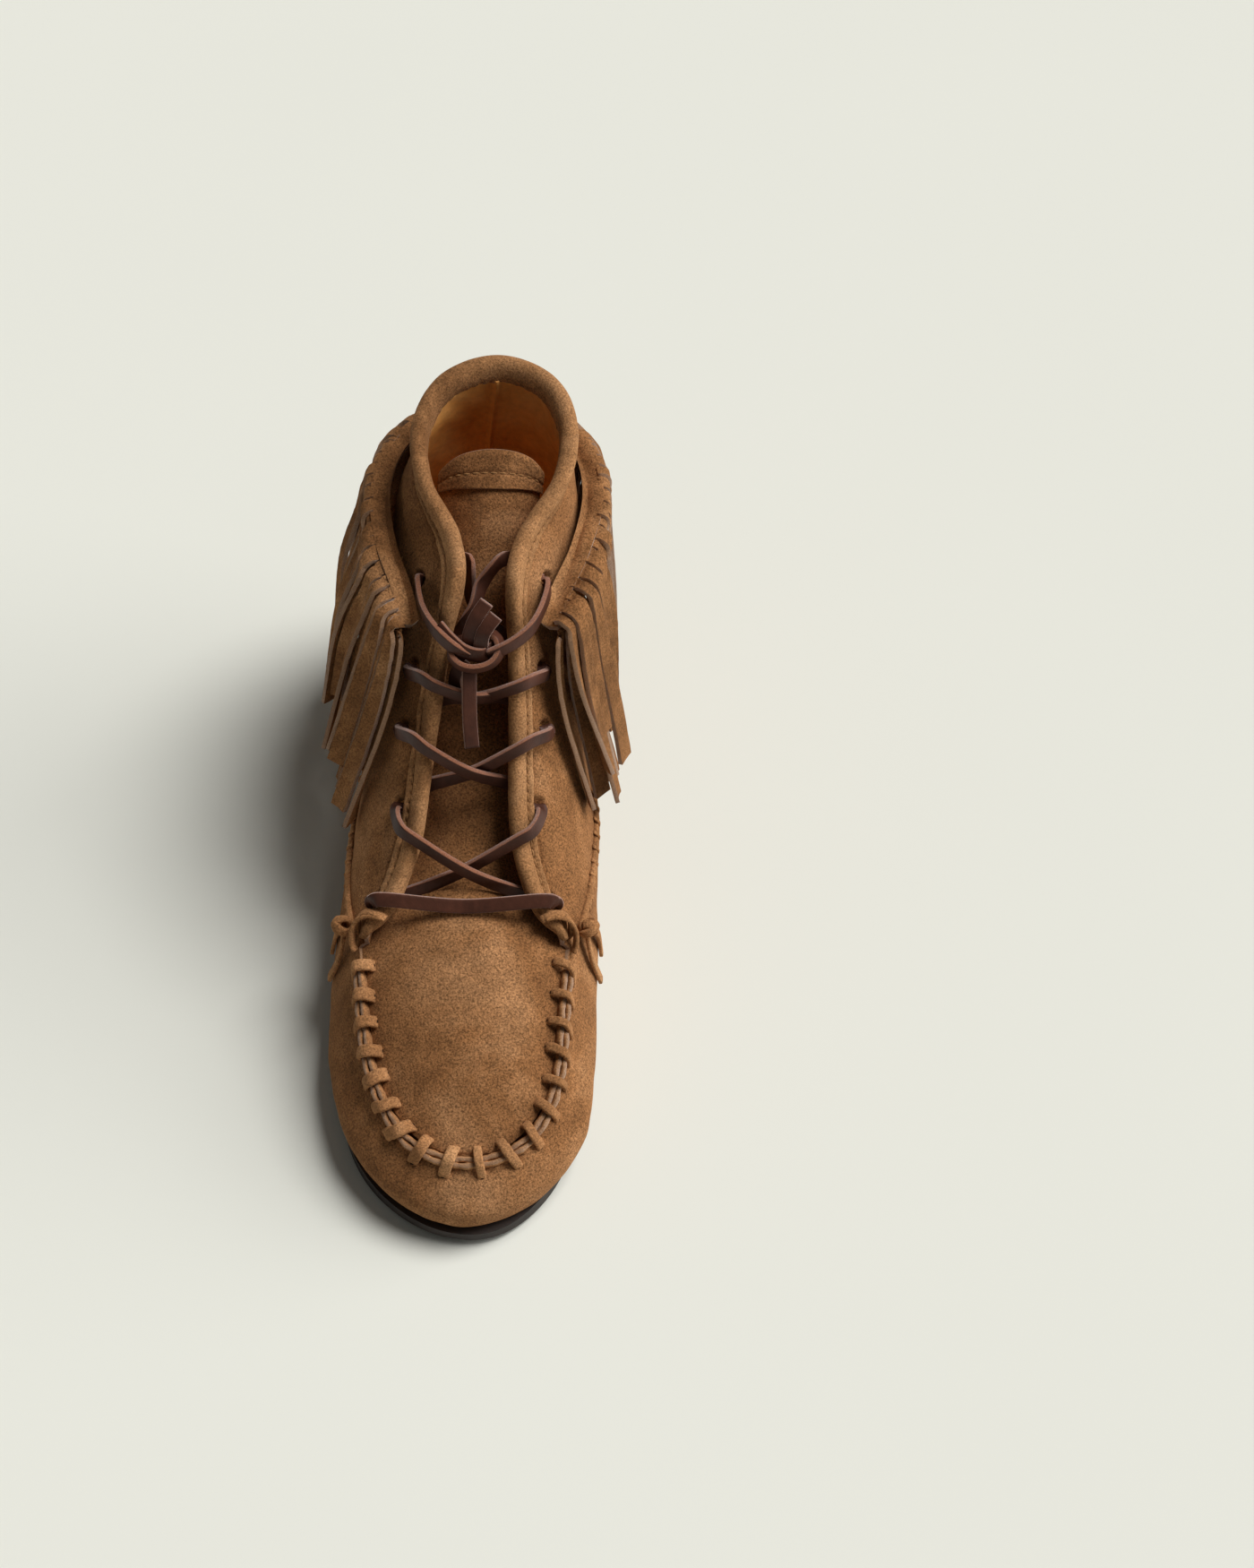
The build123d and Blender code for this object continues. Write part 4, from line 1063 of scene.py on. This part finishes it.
def make_knot():
    """The knot: the end that lies over it, its ring, two short ends and a spare one, and the tail."""
    over = [(-13.0, 5.2, 3.8), (-9.4, 1.2, 4.4), (-4.2, -3.0, 4.6), (1.8, -4.2, 4.2), (5.6, -1.5, 2.2)]
    ring = [(4.6, 3.0, 2.2), (7.0, 0.6, 3.2), (7.4, -3.6, 3.8), (4.6, -7.2, 4.2), (-0.6, -8.8, 4.2)]
    ring += [(-5.6, -7.8, 3.6), (-8.8, -4.6, 2.0), (-8.0, -1.2, 0.0), (-4.0, 0.5, -1.0)]
    outwards = [unit(ACROSS * a + RISE * (r + 1) + 3 * TONGUE_FACE) for a, r, _ in ring]
    first_stub = [(-3.3, -3.5, 1.5), (-2.0, 3.4, 5.4), (0.2, 8.4, 7.4), (3.4, 13.0, 8.6)]
    second_stub = [(1.0, -4.5, 2.0), (1.8, 1.5, 6.4), (3.6, 5.0, 7.6), (6.4, 8.6, 8.0)]
    spare_end = [(-4.6, -6.0, -1.0), (-7.4, -12.0, -3.4), (-7.0, -18.0, -6.0)]
    knot = [
        facing_way(over, unit(TONGUE_FACE - 0.6 * RISE)),
        [(by_knot(*point), face) for point, face in zip(ring, outwards)],
        facing_way(first_stub, TONGUE_FACE),
        facing_way(second_stub, TONGUE_FACE),
        facing_way(spare_end, unit(TONGUE_FACE - 0.5 * ACROSS)),
    ]
    lace_object("lace_knot_straps", knot, "boot", "lace_knot")
    tail = [(-2.6, -7.5, 1.4), (-2.7, -16.0, 1.0), (-2.6, -26.0, -0.8), (-2.0, -35.0, -2.8)]
    route = facing_way(tail, unit(TONGUE_FACE + 0.25 * ACROSS))
    lace_object("lace_tail_strap", [route], "lace_tail", "lace_tail")


# ---------------------------------------------------------------- seams and ties


def make_side_seams():
    """The raw edge of the quarter along each side seam, whipped down with short thong stitches."""
    for name, side in SIDES.items():
        t = np.linspace(0.35, LAST - 0.1, 240)
        low, high = wrap_at(side, t + TOES, 0.985), quarter_at(side, t, 0.012)
        normal = outward(quarter_at, side, t, 0.03)
        up = unit(high - low + np.array([0, 0, 1e-5]))
        teeth = 0.7 * np.abs(np.sin(np.linspace(0, 62 * math.pi, len(t))))
        ring = [(-1.0, -0.6), (-1.3, 0.9), (0.0, 1.6), (1.6, 1.3), (2.2, 0.2), (1.4, -0.8)]
        middle = (low + high) / 2
        sections = []
        for x, y in ring:
            reach = x - teeth[:, None] if x < 0 else x
            sections.append(middle + (up * reach + normal * y) * MM)
        seam = tube_mesh(np.stack(sections, axis=1))
        add_parts(f"side_seam_{name}_edge", [seam], THONG, "boot", "thong_suede")
        parts = []
        for station in np.linspace(0.8, 8.9, 34):
            face = outward(quarter_at, side, station, 0.04)
            low = wrap_at(side, station + TOES, 0.93) + face * -0.2 * MM
            high = quarter_at(side, station + 0.07, 0.07) + face * 0.2 * MM
            middle = (low + high) / 2 + face * 1.7 * MM
            parts.append(strap([low, middle, high], [face] * 3, 1.5, 0.8, 5, 0.6, 8))
        node = f"side_stitches_{name}"
        add_parts(f"{node}_thongs", parts, THONG, "boot", "thong_suede", node)


def make_ties():
    """The thong ends, knotted at each quarter's front corner, and two loops round the binding's end."""
    for name, side in SIDES.items():
        normal = outward(quarter_at, side, 0.7, 0.0)
        middle = quarter_at(side, 0.7, 0.0) + normal * (TIE_RADIUS + 0.2) * MM
        ahead = unit(quarter_at(side, 0.9, 0.0) - quarter_at(side, 0.5, 0.0))
        up = unit(np.cross(normal, ahead))
        parts = []
        for tilt, radius in ((0.0, 3.0), (1.9, 2.7)):
            a, b = ahead * math.cos(tilt) + up * math.sin(tilt), normal
            turns = np.linspace(0, 2 * math.pi * 0.96, 10)
            ring = np.array([middle + (a * math.cos(x) + b * math.sin(x)) * radius * MM for x in turns])
            parts.append(strap(ring, unit(ring - middle), 3.2, 1.9, 4, 0.6, 10))
        for t, depth in ((TOES + 0.2, 0.52), (TOES + 1.0, 0.45)):
            face = outward(wrap_at, side, t, depth)
            start = middle + unit(wrap_at(side, t, 0.9) - middle) * 1.5 * MM
            half = wrap_at(side, t, 0.78) + outward(wrap_at, side, t, 0.78) * 2.2 * MM
            tip = wrap_at(side, t, depth) + face * 1.3 * MM
            parts.append(strap([start, half, tip], [face] * 3, 3.4, 1.5, 8, 0.5, 10))
        for shift, skew in ((0.10, 2.2), (0.32, -2.0)):
            end, out, rise = binding_frame(side, shift)
            along = unit(quarter_at(side, shift + 0.2, 1.0) - end)
            steps = [(6.5, -1.5), (4.6, 2.2), (1.0, 4.6), (-3.5, 4.2), (-7.5, 1.6), (-9.0, -0.8)]
            loop = []
            for k, (a, b) in enumerate(steps):
                loop.append(end + (rise * a + out * b + along * skew * (0.5 - k / 5)) * MM)
            facing = [unit(rise + 0.2 * out), unit(rise + out), out, out, out, unit(out - rise)]
            parts.append(strap(loop, facing, 3.3, 1.6, 6, 0.6, 10))
        add_parts(f"tie_{name}_thongs", parts, THONG, "boot", "thong_suede", f"tie_knot_{name}")


def heel_at(side, t, v):
    """The outside of the shoe's back: v from the sole (0) past the side seam (0.5) to the collar (1)."""
    t, v = spread(t, v)
    low = wrap_at(side, t + TOES, np.minimum(2 * v, 1.02))
    high = quarter_at(side, t, np.maximum(2 * v - 1, -0.02))
    share = np.clip((v - 0.47) / 0.06, 0, 1)[..., None]
    return low * (1 - share) + high * share


def make_back_strap():
    v = np.linspace(0.05, 0.78, 80)[None, :]
    half = np.linspace(LAST - 0.75, LAST, 12)[:, None]
    grids = []
    for side in (MEDIAL, LATERAL):
        point, normal = skin(heel_at, side, half, v)
        outer = point + normal * (GAP + STRAP) * MM
        grids.append((outer, outer - normal * STRAP * MM))
    outer, inner = (np.concatenate([grids[0][k], grids[1][k][-2::-1]]) for k in range(2))
    piece = slab("back_strap_suede", [(outer, inner)], [BODY, EDGE])
    finish_piece(piece, "boot", "body_suede", "back_strap")


# ---------------------------------------------------------------- inside and underneath


def paint_kept_nodes():
    """CAD nodes that stay as they are and only get their finish."""
    for node, material in (
        ("outsole", RUBBER),
        ("insole_board", BOARD),
        ("footbed_foam", FOAM),
        ("heel_counter", BOARD),
        ("sock_liner", LINING_LEATHER),
    ):
        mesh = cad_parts[node].data
        mesh.materials.clear()
        mesh.materials.append(material)


# ---------------------------------------------------------------- stage


FLOOR_SIZE = 60  # metres, wide enough for its edge to lie at the horizon in a low view
GLOW = 0.09
LENS = 61.75


def make_stage():
    """A pale paper floor, a faint even glow from all round and two soft lamps from behind the right."""
    bpy.ops.mesh.primitive_plane_add(size=FLOOR_SIZE, location=(0, 0, 0))
    floor = bpy.context.object
    floor.name = "floor"
    shader = Shader("floor_paper")
    tones = (0.3, linear(230, 230, 220)), (0.7, linear(232, 232, 222))
    shader.colour(shader.ramp(shader.noise(400, 2), *tones))
    shader.set(Roughness=0.95, Specular_IOR_Level=0.05)
    floor.data.materials.append(shader.material)
    world = bpy.data.worlds.new("soft_studio")
    world.use_nodes = True
    background = world.node_tree.nodes["Background"].inputs
    background["Color"].default_value = (1.0, 0.99, 0.96, 1)
    background["Strength"].default_value = GLOW
    bpy.context.scene.world = world
    for name, at, spread_angle, strength in (
        ("key", (0.46, 0.22, 0.86), 30, 2.62),
        ("side", (0.90, 0.16, 0.40), 46, 1.50),
    ):
        light = bpy.data.lights.new(name, "SUN")
        light.energy, light.angle = strength, math.radians(spread_angle)
        lamp = bpy.data.objects.new(name, light)
        lamp.location = at
        lamp.rotation_euler = Vector(at).to_track_quat("Z", "Y").to_euler()
        link(lamp)


def make_camera():
    """A long lens a metre away, looking down at the toe, with room at the right for the other shoe."""
    elevation, azimuth, distance = math.radians(55), math.radians(0.5), 1.0
    target = Vector((0.055, 0.0559, 0))
    level = math.cos(elevation)
    back = Vector((math.sin(azimuth) * level, -math.cos(azimuth) * level, math.sin(elevation)))
    camera = bpy.data.cameras.new("camera")
    camera.sensor_fit, camera.sensor_width, camera.sensor_height = "AUTO", 36, 36
    camera.lens = LENS
    eye = bpy.data.objects.new("camera", camera)
    eye.location = target + back * distance
    eye.rotation_euler = back.to_track_quat("Z", "Y").to_euler()
    link(eye)
    bpy.context.scene.camera = eye


bpy.context.scene.view_settings.view_transform = "Standard"
make_camera()
make_stage()
make_wrap()
make_plug()
make_ridge()
make_moc_stitches()
for NAME, SIDE in SIDES.items():
    make_quarter(NAME, SIDE)
    make_lining(NAME, SIDE)
make_binding()
make_binding_stitches()
make_tongue()
for NAME, SIDE in SIDES.items():
    for GROUP, LABEL in enumerate(GROUPS):
        make_fringe_group(SIDE, GROUP, f"fringe_{NAME}_{LABEL}", f"fringe_band_{NAME}")
make_bar()
make_crossings()
make_leads()
make_knot()
make_side_seams()
make_ties()
make_back_strap()
paint_kept_nodes()
